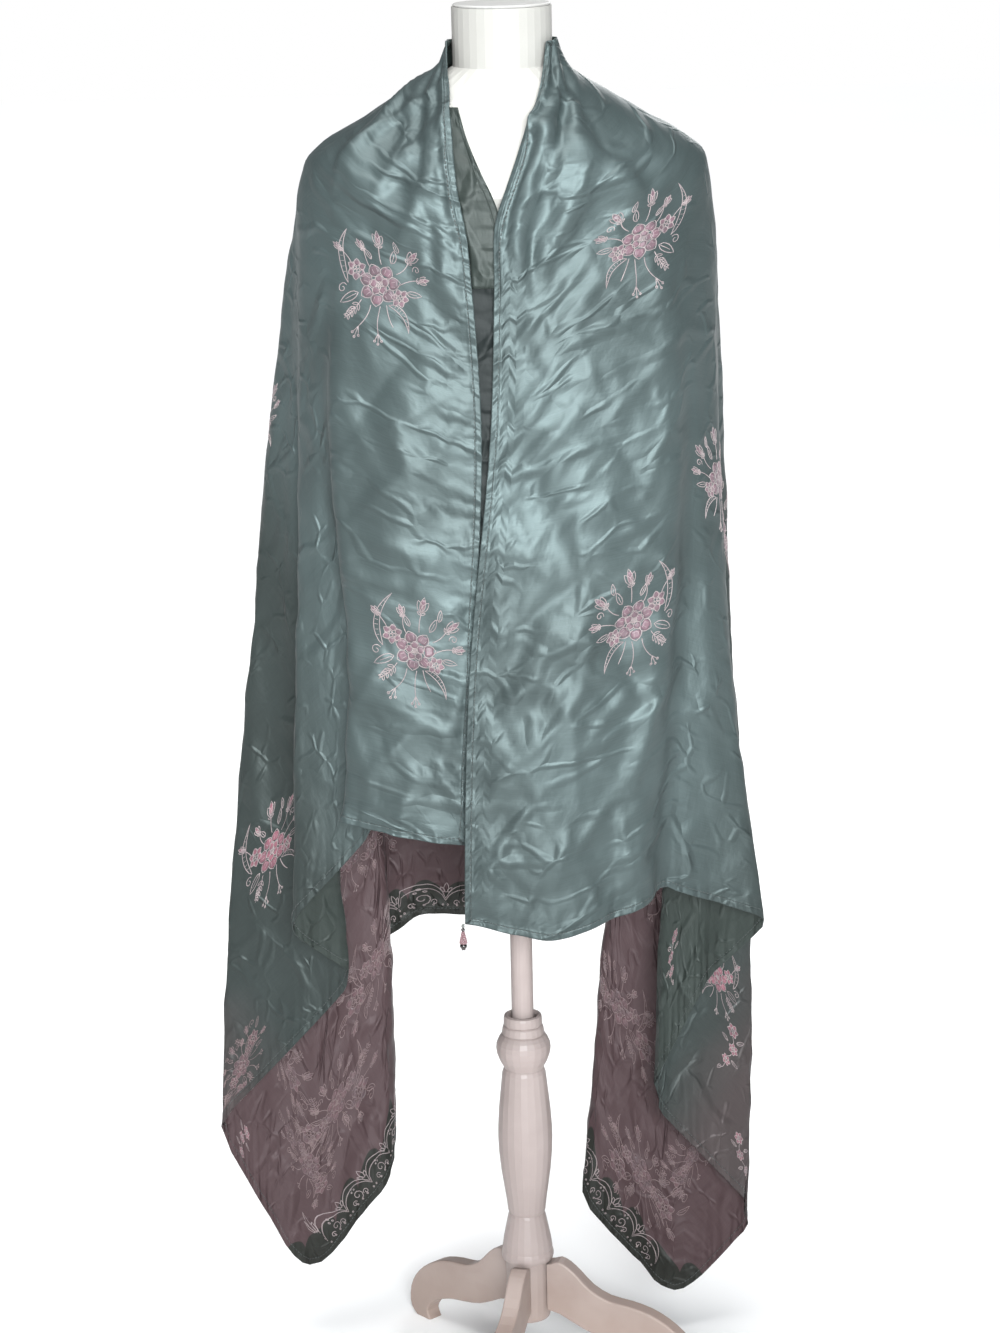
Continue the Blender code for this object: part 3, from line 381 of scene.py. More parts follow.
def cell_lengths():
    """Width of the cloth between neighbouring folds, at half its drop."""
    middle = np.array([fold_line(index, [0.80])[0] for index in range(len(FOLDS))])
    return np.linalg.norm(np.diff(middle, axis=0), axis=1)


def fine_stations():
    """Columns of the fine cloth, with closer ones at the hems of the two front edges."""
    lengths = cell_lengths()
    near = np.array(HEM_STEPS)
    stations = [LAST - near / lengths[-1], near / lengths[0]]
    for cell, length in enumerate(lengths):
        count = max(5, int(round(length / FINE)))
        row = cell + np.arange(count) / count
        row = row[(row * lengths[0] > HEM_STEPS[-1] + FINE / 2.0)]
        row = row[((LAST - row) * lengths[-1] > HEM_STEPS[-1] + FINE / 2.0)]
        stations.append(row)
    split = [STRETCH_ENDS[0], STRETCH_ENDS[1]]
    return np.unique(np.round(np.concatenate(stations + [split]), 5))


def hem_steepness(station):
    """How many times longer than the hem's width it is when measured straight up."""
    reach = 0.15
    low, high = max(0.0, station - reach), min(LAST, station + reach)
    ends = [np.append(hanging_places(place, np.array([hem_height(place)]))[0], hem_height(place))
            for place in (low, high)]
    along = np.linalg.norm(ends[1][:2] - ends[0][:2])
    return min(2.2, math.hypot(along, ends[1][2] - ends[0][2]) / max(along, 1e-4))


def column_heights(station):
    """Heights down one column: the neck hem, the shoulders, the drop and the hem at its foot."""
    steps = np.array(HEM_STEPS)
    shares = np.arange(1, SHOULDER_ROWS + 1) / SHOULDER_ROWS
    below = NAPE - steps[-1]
    shoulders = below + (YOKE_LOW - below) * shares ** 1.15
    foot = hem_height(station)
    band = foot + steps[::-1] * hem_steepness(station)
    drop = np.linspace(YOKE_LOW, band[0], HANGING_ROWS + 1)[1:-1]
    return np.concatenate((NAPE - steps, shoulders, drop, band))


def cloth_column(station):
    heights = column_heights(station)
    lie = smooth_step((heights - YOKE_LOW) / (YOKE_HIGH - YOKE_LOW))[:, None]
    places = hanging_places(station, heights) * (1.0 - lie) + shoulder_places(station, heights) * lie
    return np.column_stack((places, heights))


def unit(vectors):
    return vectors / np.maximum(np.linalg.norm(vectors, axis=-1, keepdims=True), 1e-9)


def outward(grid):
    """Normals of a grid of points, away from the form."""
    steps = unit(np.diff(grid, axis=0))
    across = np.concatenate([steps[:1] * 2.0, steps[:-1] + steps[1:], steps[-1:] * 2.0])
    return unit(np.cross(across, np.gradient(grid, axis=1)))


def collar_raise(stations, heights):
    """How far the cloth stands off the form in the rolled front edges."""
    fade = smooth_step((heights - COLLAR_FOOT) / (COLLAR_FULL - COLLAR_FOOT))
    fade = fade * (1.0 - COLLAR_CALM * smooth_step((heights - COLLAR_HIGH) / (NAPE - COLLAR_HIGH)))
    left = np.minimum(stations / COLLAR_SPAN, 1.0)
    right = np.minimum((LAST - stations) / COLLAR_SPAN, 1.0)
    folds = RIGHT_ROLL * np.sin(math.pi * 2.0 * right) ** 2 * (right < 1.0)
    return fade * (LEFT_ROLL * (1.0 - left ** 2) ** 2 + folds + RIGHT_LIFT * (1.0 - right ** 2))


def soft_fold_depths(stations, heights):
    """The broad creases that the solids have too."""
    depth = np.zeros_like(heights)
    for crease in SOFT_FOLDS:
        along_x = (stations - crease.station) * crease.cell
        along_z = heights - crease.height
        lean = math.radians(crease.lean)
        along = along_x * math.sin(lean) + along_z * math.cos(lean)
        beside = along_x * math.cos(lean) - along_z * math.sin(lean)
        depth += crease.depth * np.exp(-(along / crease.length) ** 2 - (beside / crease.width) ** 2)
    return depth


class Cloth:
    """The whole fine cloth: its points, and how far along and down it each of them lies."""

    def __init__(self):
        self.stations = fine_stations()
        self.grid = np.array([cloth_column(station) for station in self.stations])
        self.columns, self.rows = self.grid.shape[:2]
        places = self.stations[:, None] * np.ones(self.rows)
        heights = self.grid[..., 2].copy()
        lift = collar_raise(places, heights) + soft_fold_depths(places, heights)
        self.grid += outward(self.grid) * lift[..., None]
        self.measure()
        self.grid += outward(self.grid) * self.creases(places, heights)[..., None]
        self.measure()
        self.grid += AXIS

    def measure(self):
        """Lengths along every row from the left edge and down every column from the neck."""
        self.along = np.zeros(self.grid.shape[:2])
        self.along[1:] = np.cumsum(np.linalg.norm(np.diff(self.grid, axis=0), axis=2), axis=0)
        self.down = np.zeros(self.grid.shape[:2])
        self.down[:, 1:] = np.cumsum(np.linalg.norm(np.diff(self.grid, axis=1), axis=2), axis=1)
        self.foot = self.grid[:, -1]
        self.foot_along = np.zeros(self.columns)
        self.foot_along[1:] = np.cumsum(np.linalg.norm(np.diff(self.foot, axis=0), axis=1))

    def column_of(self, station):
        return float(np.interp(station, self.stations, np.arange(self.columns)))

    def front_column(self, across, up, first, last):
        """The column that crosses a place on one of the fronts."""
        inside = np.flatnonzero((self.stations >= first) & (self.stations <= last))
        rows = np.abs(self.grid[inside, :, 2] - up).argmin(axis=1)
        return inside[np.abs(self.grid[inside, rows, 0] - across).argmin()]

    def creases(self, stations, heights):
        """Height of every placed crease, long wave and crumple, troughs below zero."""
        height = np.zeros_like(heights)
        for table, first, last in ((LEFT_CREASES, 0.0, 2.2), (RIGHT_CREASES, LAST - 2.2, LAST)):
            for crease in table:
                middle = self.front_column(crease.across / 1000.0, crease.up / 1000.0, first, last)
                beside = self.along[middle] - self.along
                height += crease_shape(beside, heights - crease.up / 1000.0, crease)
        height *= 1.0 + 0.6 * smooth_step((heights - 1.20) / 0.06)
        for wave in LONG_WAVES:
            middle = int(round(self.column_of(wave.station)))
            beside = self.along[middle] - self.along
            rise = heights - wave.up
            beside = beside - rise * math.tan(math.radians(wave.lean))
            height += wave.height / 1000.0 * (np.exp(-(rise / wave.length) ** 2)
                                              * np.exp(-(beside / (wave.width / 1000.0)) ** 2))
        rolled = self.hem_waves(heights)
        fade = smooth_step((heights - 1.15) / 0.07) * (1.0 - 0.5 * smooth_step((heights - 1.34) / 0.05))
        for folds, from_edge in ((ROLLED_FOLDS, self.along[-1] - self.along), (GATHERED_FOLDS, self.along)):
            for distance, width, rise in folds:
                beside = from_edge * 1000.0 - distance - 14.0 * np.maximum(1.24 - heights, 0.0) * 4.0
                rolled += fade * rise / 1000.0 * np.exp(-(beside / width) ** 2)
        share = np.interp(self.stations, CRUMPLE_STATIONS, CRUMPLE_SHARES)[:, None]
        right = smooth_step((self.stations[:, None] - CENTRE_STATION + 1.0) / 2.0)
        facets = (crumple(self.along, self.down) * (1.0 - right)
                  + crumple(self.along - self.along[-1], self.down) * right)
        share = share * (0.62 + 0.50 * smooth_step((1.05 - heights) / 0.30))
        height += share * facets * smooth_step((NAPE - heights) / 0.05)
        on_form = smooth_step((heights - 1.20) / 0.05)
        return rolled + np.maximum(height, DEEPEST_ON_FORM * on_form + DEEPEST_FREE * (1.0 - on_form))

    def hem_waves(self, heights):
        """Slack in the cloth near its foot: wide on the tails and the back, slight on the fronts."""
        above = heights - heights[:, -1:]
        size = np.interp(self.stations, HEM_WAVE_STATIONS, HEM_WAVE_SIZES)[:, None]
        along = self.foot_along[:, None]
        wave = (np.sin(along * 2.0 * math.pi / 0.127 + 0.6) + 0.7 * np.sin(along * 2.0 * math.pi / 0.071)
                + 0.35 * np.sin(along * 2.0 * math.pi / 0.033 + 2.0) * np.exp(-above / 0.02))
        return size * wave * np.exp(-above / 0.085)

    def place(self, station, up, points):
        """Points measured in metres to the right and up from a place on the cloth, seen from
        outside, laid on its surface."""
        middle = self.column_of(station)
        low = int(middle)
        part = middle - low
        high = min(low + 1, self.columns - 1)
        column = self.down[low] * (1.0 - part) + self.down[high] * part
        heights = self.grid[low, :, 2] * (1.0 - part) + self.grid[high, :, 2] * part
        start = np.interp(-up, -heights, column)
        rows = np.interp(start - points[:, 1], column, np.arange(self.rows))
        return self.lookup_along(middle, rows, -points[:, 0])

    def lookup_along(self, middle, rows, shift):
        """Surface points on the given rows, each a distance along its row from a column."""
        row = np.clip(rows.astype(int), 0, self.rows - 2)
        part = (rows - row)[:, None]
        lengths = self.along.T[row] * (1.0 - part) + self.along.T[row + 1] * part
        low = int(min(middle, self.columns - 2))
        share = middle - low
        target = lengths[:, low] * (1.0 - share) + lengths[:, low + 1] * share + shift
        first, last = max(low - 70, 0), min(low + 70, self.columns)
        column = first + (lengths[:, first:last] < target[:, None]).sum(axis=1) - 1
        column = np.clip(column, 0, self.columns - 2)
        index = np.arange(len(rows))
        here, there = lengths[index, column], lengths[index, column + 1]
        across = np.clip((target - here) / np.maximum(there - here, 1e-6), 0.0, 1.0)
        return self.surface(column + across, rows)

    def surface(self, columns, rows):
        """Points of the surface between its columns and rows."""
        c = np.clip(columns.astype(int), 0, self.columns - 2)
        r = np.clip(rows.astype(int), 0, self.rows - 2)
        u, v = (columns - c)[:, None], (rows - r)[:, None]
        g = self.grid
        return ((g[c, r] * (1 - u) + g[c + 1, r] * u) * (1 - v)
                + (g[c, r + 1] * (1 - u) + g[c + 1, r + 1] * u) * v)

    def place_on_foot(self, points):
        """Points measured along the foot of the cloth and square to it, laid on the surface."""
        along_foot = unit(np.gradient(self.foot, axis=0))
        upward = unit(self.grid[:, -10] - self.foot)
        cosine = np.clip((along_foot * upward).sum(axis=1), -0.85, 0.85)
        index = np.arange(self.columns)
        target = points[:, 0]
        for _ in range(3):
            columns = np.interp(target, self.foot_along, index)
            slope = np.interp(columns, index, cosine)
            climb = points[:, 1] / np.sqrt(1.0 - slope ** 2)
            target = points[:, 0] - climb * slope
        columns = np.interp(target, self.foot_along, index)
        c = np.clip(columns.astype(int), 0, self.columns - 2)
        part = (columns - c)[:, None]
        lengths = self.down[c] * (1.0 - part) + self.down[c + 1] * part
        goal = lengths[:, -1] - climb
        row = np.clip((lengths < goal[:, None]).sum(axis=1) - 1, 0, self.rows - 2)
        number = np.arange(len(row))
        here, there = lengths[number, row], lengths[number, row + 1]
        share = (goal - here) / np.maximum(there - here, 1e-6)
        return self.surface(columns, row + share)

    def flat_places(self):
        """Where every point lies on the flat cut, in metres."""
        flats = np.array(FLATS)
        index = np.arange(len(FLATS))
        start = np.stack([np.interp(self.stations, index, flats[:, i]) for i in (0, 1)], axis=1)
        foot = np.stack([np.interp(self.stations, index, flats[:, i]) for i in (2, 3)], axis=1)
        share = (self.down / self.down[:, -1:])[..., None]
        flat = start[:, None] * (1.0 - share) + foot[:, None] * share
        side = np.where(self.stations > len(LEFT_FOLDS), 1.0, -1.0)
        flat[..., 0] *= side[:, None]
        return flat

    def from_foot(self):
        """Distance of every point from the foot of the cloth, measured square to it."""
        slope = np.array([1.0 / hem_steepness(station) for station in self.stations])
        return (self.down[:, -1:] - self.down) * slope[:, None]

    def edge_places(self):
        """Distance along the nearest edge of the cloth, and from it, for every point."""
        distances = np.stack((self.along, self.along[-1] - self.along, self.down, self.from_foot()))
        lengths = np.stack((self.down, self.down, self.along,
                            self.foot_along[:, None] * np.ones(self.rows)))
        order = np.sort(distances, axis=0)
        between = np.exp(-((order[1] - order[0]) / 0.010) ** 2) * smooth_step((order[0] - 0.004) / 0.008)
        nearest = distances.argmin(axis=0)[None]
        return np.take_along_axis(lengths, nearest, 0)[0], order[0] + 0.15 * between

    def from_long_edge(self):
        """Distance of every point from the long edge at the foot."""
        distance = self.from_foot()
        for end, inward in ((LONG_EDGE_FIRST, 1), (LONG_EDGE_LAST, -1)):
            corner = int(round(self.column_of(end)))
            beyond = self.stations < end if inward > 0 else self.stations > end
            step = self.foot[corner + inward * 6] - self.foot[corner]
            rise = math.atan2(step[2], np.linalg.norm(step[:2]))
            away = np.abs(self.along - self.along[corner])
            height = self.grid[..., 2] - self.foot[corner, 2]
            turned = height * math.cos(rise) + away * math.sin(rise)
            distance = np.where(beyond[:, None], turned, distance)
        return distance


def crease_shape(beside, rise, crease):
    """One crease: a sharp crest that fades at its ends and bends a little along its length."""
    lean = math.radians(crease.lean)
    along = (rise * math.cos(lean) - beside * math.sin(lean)) * 1000.0
    across = (beside * math.cos(lean) + rise * math.sin(lean)) * 1000.0
    across = across - crease.bend * along ** 2 / crease.length
    ends = np.exp(-np.abs(along / crease.length) ** 3)
    return 1.1 * crease.height / 1000.0 * ends * np.exp(-np.abs(across / crease.width) ** 1.3)


def uneven(along, down, size, start):
    """A smooth, uneven value of about -1 to 1 over the cloth."""
    total = np.zeros_like(along)
    for number, turn in enumerate((0.4, 1.5, 2.7, 4.4, 5.6)):
        angle = turn + start * 0.7
        reach = size * (0.75 + 0.17 * number)
        total += np.sin((along * math.cos(angle) + down * math.sin(angle)) * 2.0 * math.pi / reach
                        + start * 3.1 + number * 1.9)
    return total / 2.4


def crumple(along, down):
    """Flat facets between straight creases of several directions, deeper in some places."""
    height = np.zeros_like(along)
    for layer in CRUMPLES:
        angle = math.radians(layer.turn)
        across = (along * math.cos(angle) + down * math.sin(angle)) / layer.pitch
        across = across + layer.bend * uneven(along, down, layer.pitch * 3.6, layer.start)
        facet = np.abs((across + layer.start) % 1.0 - 0.5) * 2.0 - 0.5
        share = smooth_step(0.5 + 0.8 * uneven(along, down, layer.pitch * 3.1, layer.start + 5.0))
        height += layer.depth * facet * share
    return height


def linked_object(name, data):
    item = bpy.data.objects.new(name, data)
    bpy.context.scene.collection.objects.link(item)
    return item


def surface_from_grid(name, grid):
    """A smooth surface through a grid of points, its faces outwards, and where each vertex lies
    in the grid."""
    columns, rows = grid.shape[:2]
    surface = bmesh.new()
    bmesh.ops.create_grid(surface, x_segments=columns - 1, y_segments=rows - 1, size=1.0)
    data = bpy.data.meshes.new(name)
    surface.to_mesh(data)
    surface.free()
    made = np.zeros(len(data.vertices) * 3)
    data.vertices.foreach_get("co", made)
    made = made.reshape(-1, 3)
    column = np.rint((1.0 - made[:, 0]) / 2.0 * (columns - 1)).astype(int)
    row = np.rint((1.0 - made[:, 1]) / 2.0 * (rows - 1)).astype(int)
    data.vertices.foreach_set("co", grid[column, row].ravel())
    data.update()
    data.shade_smooth()
    return data, column, row


def add_map(data, name, values):
    """A map from one pair of numbers for each vertex."""
    layer = data.uv_layers.new(name=name)
    corner = np.zeros(len(data.loops), dtype=int)
    data.loops.foreach_get("vertex_index", corner)
    layer.data.foreach_set("uv", values[corner].ravel())


def thicken(item, thickness, inner_slot=0):
    shell = item.modifiers.new("cloth thickness", "SOLIDIFY")
    shell.thickness = thickness
    shell.offset = 0.0
    shell.use_rim = True
    shell.material_offset = inner_slot
    return shell


def silk_piece(name, grid, cut, edge, nodes, finishes):
    """A run of the silk as a thin shell with a thicker hem, in place of its plain solids."""
    data, column, row = surface_from_grid(name, grid)
    add_map(data, "cut", cut[column, row])
    add_map(data, "edge", edge[column, row])
    for finish in finishes:
        data.materials.append(finish)
    item = linked_object(name, data)
    hem = item.vertex_groups.new(name="hem")
    for index in np.flatnonzero(edge[column, row, 1] <= HEM_WIDTH):
        hem.add([int(index)], 1.0, "REPLACE")
    shell = thicken(item, HEM_THICK, inner_slot=1)
    shell.vertex_group = "hem"
    shell.thickness_vertex_group = SILK_THICK / HEM_THICK
    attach(item, "root")
    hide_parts(*nodes)
    return item


def strip_piece(name, grid, finishes, node):
    """A folded-in edge of the silk, a little uneven, in place of its plain solid."""
    columns, levels = grid.shape[:2]
    wave = (np.sin(np.arange(levels) * 0.9) + 0.7 * np.sin(np.arange(levels) * 0.37 + 1.0))[None, :]
    wave = wave * np.sin(np.linspace(0.4, 2.8, columns))[:, None] * 0.0004
    grid = grid + outward(grid) * wave[..., None] + AXIS
    data, column, row = surface_from_grid(name, grid)
    length = (grid[0, 0, 2] - grid[0, :, 2])[row]
    from_side = column / (columns - 1) * 0.030
    add_map(data, "cut", np.column_stack((length + 0.2, from_side + 0.6)))
    add_map(data, "edge", np.column_stack((length, from_side)))
    for finish in finishes:
        data.materials.append(finish)
    item = linked_object(name, data)
    thicken(item, SILK_THICK * 1.6)
    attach(item, "root")
    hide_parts(node)
    return item


NECK_STRIP_FOOT = ((1.240, -41, -5), (1.215, -37, -3), (1.196, -35, -3), (1.178, -34, -4))


def turn_in_grid():
    """Inside the neck opening: on the shoulders' form, a little lower than the cloth round it. Its
    foot reaches further under the rolled right edge than the plain solid's."""
    rows = TURN_IN[:4] + NECK_STRIP_FOOT
    heights = [row[0] for row in rows]
    levels = np.linspace(heights[0], heights[-1], 48)
    sides = smooth_table(heights, [row[1:] for row in rows], levels) / 1000.0
    half_width, half_depth = ring_sizes(levels)
    shares = np.linspace(0.0, 1.0, 12)[:, None]
    across = sides[:, 1] + (sides[:, 0] - sides[:, 1]) * shares
    ahead = -half_depth * np.sqrt(1.0 - (across / half_width) ** 2)
    grid = np.stack((across, ahead, np.broadcast_to(levels, across.shape)), axis=-1)
    return grid + outward(grid) * TURN_IN_DROP


def turn_under_grid():
    """Below the neck opening: the edge folded back in the dark gap between the two fronts."""
    heights = [row[0] for row in TURN_UNDER]
    levels = np.linspace(heights[0], heights[-1], 90)
    sides = smooth_table(heights, [row[1:] for row in TURN_UNDER], levels) / 1000.0
    shares = np.linspace(0.0, 1.0, 9)[:, None]
    across = sides[:, 1] + (sides[:, 0] - sides[:, 1]) * shares
    ahead = sides[:, 3] + (sides[:, 2] - sides[:, 3]) * shares
    return np.stack((across, ahead, np.broadcast_to(levels, across.shape)), axis=-1)


# ---- Print ----

class Artwork:
    """Lines and filled shapes on the flat, in millimetres, kept as small grids of points."""

    def __init__(self):
        self.lines = []
        self.fills = []

    def line(self, points, width=None, closed=False):
        points = np.asarray(points, float)
        if closed:
            points = np.vstack((points, points[:1]))
        steps = np.gradient(points, axis=0)
        steps /= np.maximum(np.linalg.norm(steps, axis=1, keepdims=True), 1e-9)
        left = np.column_stack((-steps[:, 1], steps[:, 0])) * (width or LINE_WIDTH) / 2.0
        self.lines.append(np.stack((points - left, points + left), axis=1))

    def fill(self, middle, half_widths):
        middle = np.asarray(middle, float)
        steps = np.gradient(middle, axis=0)
        steps /= np.maximum(np.linalg.norm(steps, axis=1, keepdims=True), 1e-9)
        left = np.column_stack((-steps[:, 1], steps[:, 0]))
        sides = np.linspace(-1.0, 1.0, 5)
        half = np.asarray(half_widths, float)[:, None]
        self.fills.append(np.stack([middle + left * half * side for side in sides], axis=1))


def heading(turn):
    return np.array((math.cos(math.radians(turn)), math.sin(math.radians(turn))))


def petal(art, root, turn, length, width, filled=True, curl=0.0):
    """One petal or leaf: its outline, and its colour inside the line."""
    root = np.asarray(root, float)
    forward = heading(turn)
    side = np.array((-forward[1], forward[0]))
    shares = np.linspace(0.0, 1.0, 7)
    middle = root + np.outer(shares * length, forward) + np.outer(curl * length * shares ** 2, side)
    half = width / 2.0 * np.sin(math.pi * shares ** 0.8) ** 0.75
    outline = np.vstack((middle + np.outer(half, side), (middle - np.outer(half, side))[-2:0:-1]))
    art.line(outline, closed=True)
    if filled:
        art.fill(middle[1:-1], half[1:-1] * 0.84)


def bloom(art, x, y, size, turn):
    """An open flower with two rings of petals and a seeded middle."""
    for number in range(6):
        angle = turn + number * 60.0
        petal(art, np.array((x, y)) + heading(angle) * size * 0.16, angle, size * 0.36, size * 0.30)
    for number in range(4):
        angle = turn + 30.0 + number * 90.0
        petal(art, np.array((x, y)) + heading(angle) * size * 0.03, angle, size * 0.2, size * 0.15, False)
    ring(art, x, y, size * 0.05)
    for number in range(6):
        angle = turn + 30.0 + number * 60.0
        art.line([np.array((x, y)) + heading(angle) * size * reach for reach in (0.26, 0.40)])


def ring(art, x, y, radius):
    art.line([np.array((x, y)) + heading(angle) * radius for angle in range(0, 360, 45)], closed=True)


def bud(art, x, y, size, turn):
    """A closed flower of three petals on its cup."""
    for step, length in ((-24, 0.8), (24, 0.8), (0, 1.0)):
        petal(art, (x, y), turn + step, size * length, size * 0.34, step == 0)
    petal(art, np.array((x, y)) - heading(turn) * size * 0.16, turn + 60, size * 0.3, size * 0.12, False)
    petal(art, np.array((x, y)) - heading(turn) * size * 0.16, turn - 60, size * 0.3, size * 0.12, False)


def stem(art, start, finish, bend):
    start, finish = np.asarray(start, float), np.asarray(finish, float)
    across = finish - start
    middle = (start + finish) / 2.0 + np.array((-across[1], across[0])) * bend
    shares = np.linspace(0.0, 1.0, 8)[:, None]
    art.line(start * (1 - shares) ** 2 + middle * 2 * shares * (1 - shares) + finish * shares ** 2)


def leaf(art, x, y, length, turn, curl=0.12):
    petal(art, (x, y), turn, length, length * 0.36, False, curl)
    side = heading(turn + 90.0)
    art.line([np.array((x, y)) + heading(turn) * length * share + side * curl * length * share ** 2
              for share in (0.1, 0.4, 0.7)], LINE_WIDTH * 0.8)


def feather_leaf(art, x, y, length, turn):
    """A long leaf of paired leaflets."""
    stem(art, (x, y), np.array((x, y)) + heading(turn) * length, 0.12)
    for number in range(1, 5):
        share = number / 5.0
        root = np.array((x, y)) + heading(turn) * length * share + heading(turn + 90) * length * 0.2 * share * (1 - share)
        for side in (-48.0, 48.0):
            petal(art, root, turn + side, length * 0.26 * (1.1 - share * 0.5), length * 0.09, False)


def berries(art, x, y, length, turn):
    for step, share in ((-26, 0.8), (0, 1.0), (26, 0.8)):
        tip = np.array((x, y)) + heading(turn + step) * length * share
        art.line([(x, y), (np.array((x, y)) + tip) / 2.0, tip])
        ring(art, tip[0], tip[1], length * 0.1)


def spiral(art, x, y, radius, turn, hand=1.0):
    shares = np.linspace(0.0, 1.0, 13)
    art.line([np.array((x, y)) + heading(turn + hand * 430.0 * share) * radius * (1.0 - 0.82 * share)
              for share in shares])


def peony(art, x, y, size, turn):
    """A full flower: wide outer petals with veins, a ring of inner ones and a closed cup."""
    middle = np.array((x, y))
    for number in range(7):
        angle = turn + number * 360.0 / 7.0
        petal(art, middle + heading(angle) * size * 0.20, angle + 6.0, size * 0.32, size * 0.31)
        for side in (-9.0, 9.0):
            art.line([middle + heading(angle + side) * size * reach for reach in (0.30, 0.40)], 0.45)
    for number in range(5):
        angle = turn + 20.0 + number * 72.0
        petal(art, middle + heading(angle) * size * 0.06, angle, size * 0.2, size * 0.19)
    for step in (-30, 30, 0):
        petal(art, middle - heading(turn + 90.0) * size * 0.05, turn + 90.0 + step, size * 0.13,
              size * 0.08, False)


def plume(art, points, width):
    """A long curved leaf with a filled blade and a row of short veins."""
    shares = np.linspace(0.0, 1.0, 12)[:, None]
    start, bend, finish = (np.array(point, float) for point in points)
    spine = start * (1 - shares) ** 2 + bend * 2 * shares * (1 - shares) + finish * shares ** 2
    steps = np.gradient(spine, axis=0)
    steps /= np.linalg.norm(steps, axis=1, keepdims=True)
    side = np.column_stack((-steps[:, 1], steps[:, 0]))
    half = width / 2.0 * np.sin(math.pi * shares[:, 0] ** 0.7)[:, None]
    art.line(np.vstack((spine + side * half, (spine - side * half * 0.35)[-2:0:-1])), closed=True)
    for number in range(2, 10):
        art.line([spine[number], spine[number] + side[number] * half[number] * 0.8], 0.4)


def spray(art):
    """A loose spray about 95 mm across: one full flower, a smaller one, buds, curved leaves,
    a leaf of small leaflets and hanging berries."""
    peony(art, 2, -4, 40, 8)
    bloom(art, -22, 8, 20, 30)
    bloom(art, 24, -14, 17, 55)
    for x, y, size, turn in ((4, 36, 16, 84), (-14, 30, 11, 112), (31, 22, 15, 44), (40, 4, 11, 8),
                             (-38, 26, 10, 140)):
        bud(art, x, y, size, turn)
    for start, finish, bend in (((4, 16), (4, 34), 0.08), ((-8, 12), (-13, 29), 0.2),
                                ((18, 8), (30, 21), -0.2), ((22, -2), (39, 4), 0.15),
                                ((-28, 14), (-37, 25), -0.1), ((-4, -24), (-13, -46), 0.2),
                                ((6, -24), (8, -50), -0.1), ((12, -22), (22, -42), -0.12)):
        stem(art, start, finish, bend)
    plume(art, ((-30, -6), (-46, 22), (-26, 50)), 9.0)
    plume(art, ((14, -22), (32, -26), (38, -46)), 7.0)
    for x, y, length, turn in ((-18, -14, 22, 206), (14, 18, 15, 62), (30, -8, 15, -14),
                               (-20, -28, 14, 222), (-6, 20, 12, 116), (22, 30, 12, 80)):
        leaf(art, x, y, length, turn)
    feather_leaf(art, -14, -20, 26, 232)
    berries(art, -13, -46, 11, 252)
    berries(art, 8, -50, 10, 276)
    spiral(art, -36, -12, 5.5, 40)
    spiral(art, 38, 14, 4.5, 200, -1.0)


def bouquet(art):
    """A full cluster about 130 mm across for the mauve ground."""
    spray(art)
    bloom(art, -44, -14, 34, 30)
    bloom(art, 42, -24, 28, 5)
    for x, y, size, turn in ((-62, 8, 15, 140), (58, -4, 14, 30), (-50, -40, 14, 236), (44, -48, 13, -70)):
        bud(art, x, y, size, turn)
    for start, finish, bend in (((-34, -4), (-60, 8), 0.15), ((-44, -30), (-50, -40), 0.0),
                                ((46, -12), (57, -4), 0.1), ((42, -38), (44, -47), 0.0)):
        stem(art, start, finish, bend)
    for x, y, length, turn in ((-60, -18, 20, 190), (58, -28, 18, -12), (-30, -32, 18, 250),
                               (26, -36, 17, -84)):
        leaf(art, x, y, length, turn)
    feather_leaf(art, -36, 10, 32, 118)
    feather_leaf(art, 40, -4, 28, 66)
    spiral(art, -72, -30, 8, 20)
    spiral(art, 70, -14, 7, 160, -1.0)


def small_spray(art):
    """A short chain of little flowers."""
    for x, y, size, turn in ((0, 22, 15, 10), (5, 2, 13, 40), (-2, -17, 12, 0)):
        bloom(art, x, y, size, turn)
    for start, finish in (((1, 15), (4, 8)), ((4, -5), (-1, -11)), ((-3, -23), (-7, -32))):
        stem(art, start, finish, 0.2)
    for x, y, length, turn in ((8, 12, 11, 30), (-4, 6, 10, 160), (5, -12, 10, -20), (-7, -30, 9, 230)):
        leaf(art, x, y, length, turn)


def border_repeat(art, x):
    """One scallop of the border: a double arch, a scroll and three dots, and small marks."""
    width = SCALLOP
    shares = np.linspace(0.0, 1.0, 13)
    for rise, base in ((17.0, 17.0), (14.0, 14.6)):
        arch = base + rise * np.sin(math.pi * shares) ** 0.62
        art.line(np.column_stack((x + width * shares, arch)))
    spiral(art, x + width * 0.5, 17.0, 6.4, -90)
    spiral(art, x + width * 0.5 + 9.5, 13.0, 3.6, 180, -1.0)
    spiral(art, x + width * 0.5 - 9.5, 13.0, 3.6, 0)
    for step_x, y in ((-2.2, 25.2), (2.2, 25.2), (0.0, 28.4)):
        ring(art, x + width * 0.5 + step_x, y, 0.8)
    for share in (0.06, 0.3, 0.5, 0.7, 0.94):
        ring(art, x + width * share, 10.2, 0.8)
    petal(art, (x, 24.0), 90, 11, 5, False)
    petal(art, (x - 1.5, 24.5), 130, 7, 3, False)
    petal(art, (x + 1.5, 24.5), 50, 7, 3, False)


# Colours are printed as fills under lines; both lie in the surface of the silk
LINE_WIDTH = 0.75
LINE_PROUD = 0.00100
FILL_PROUD = 0.00080
SCALLOP = 42.0

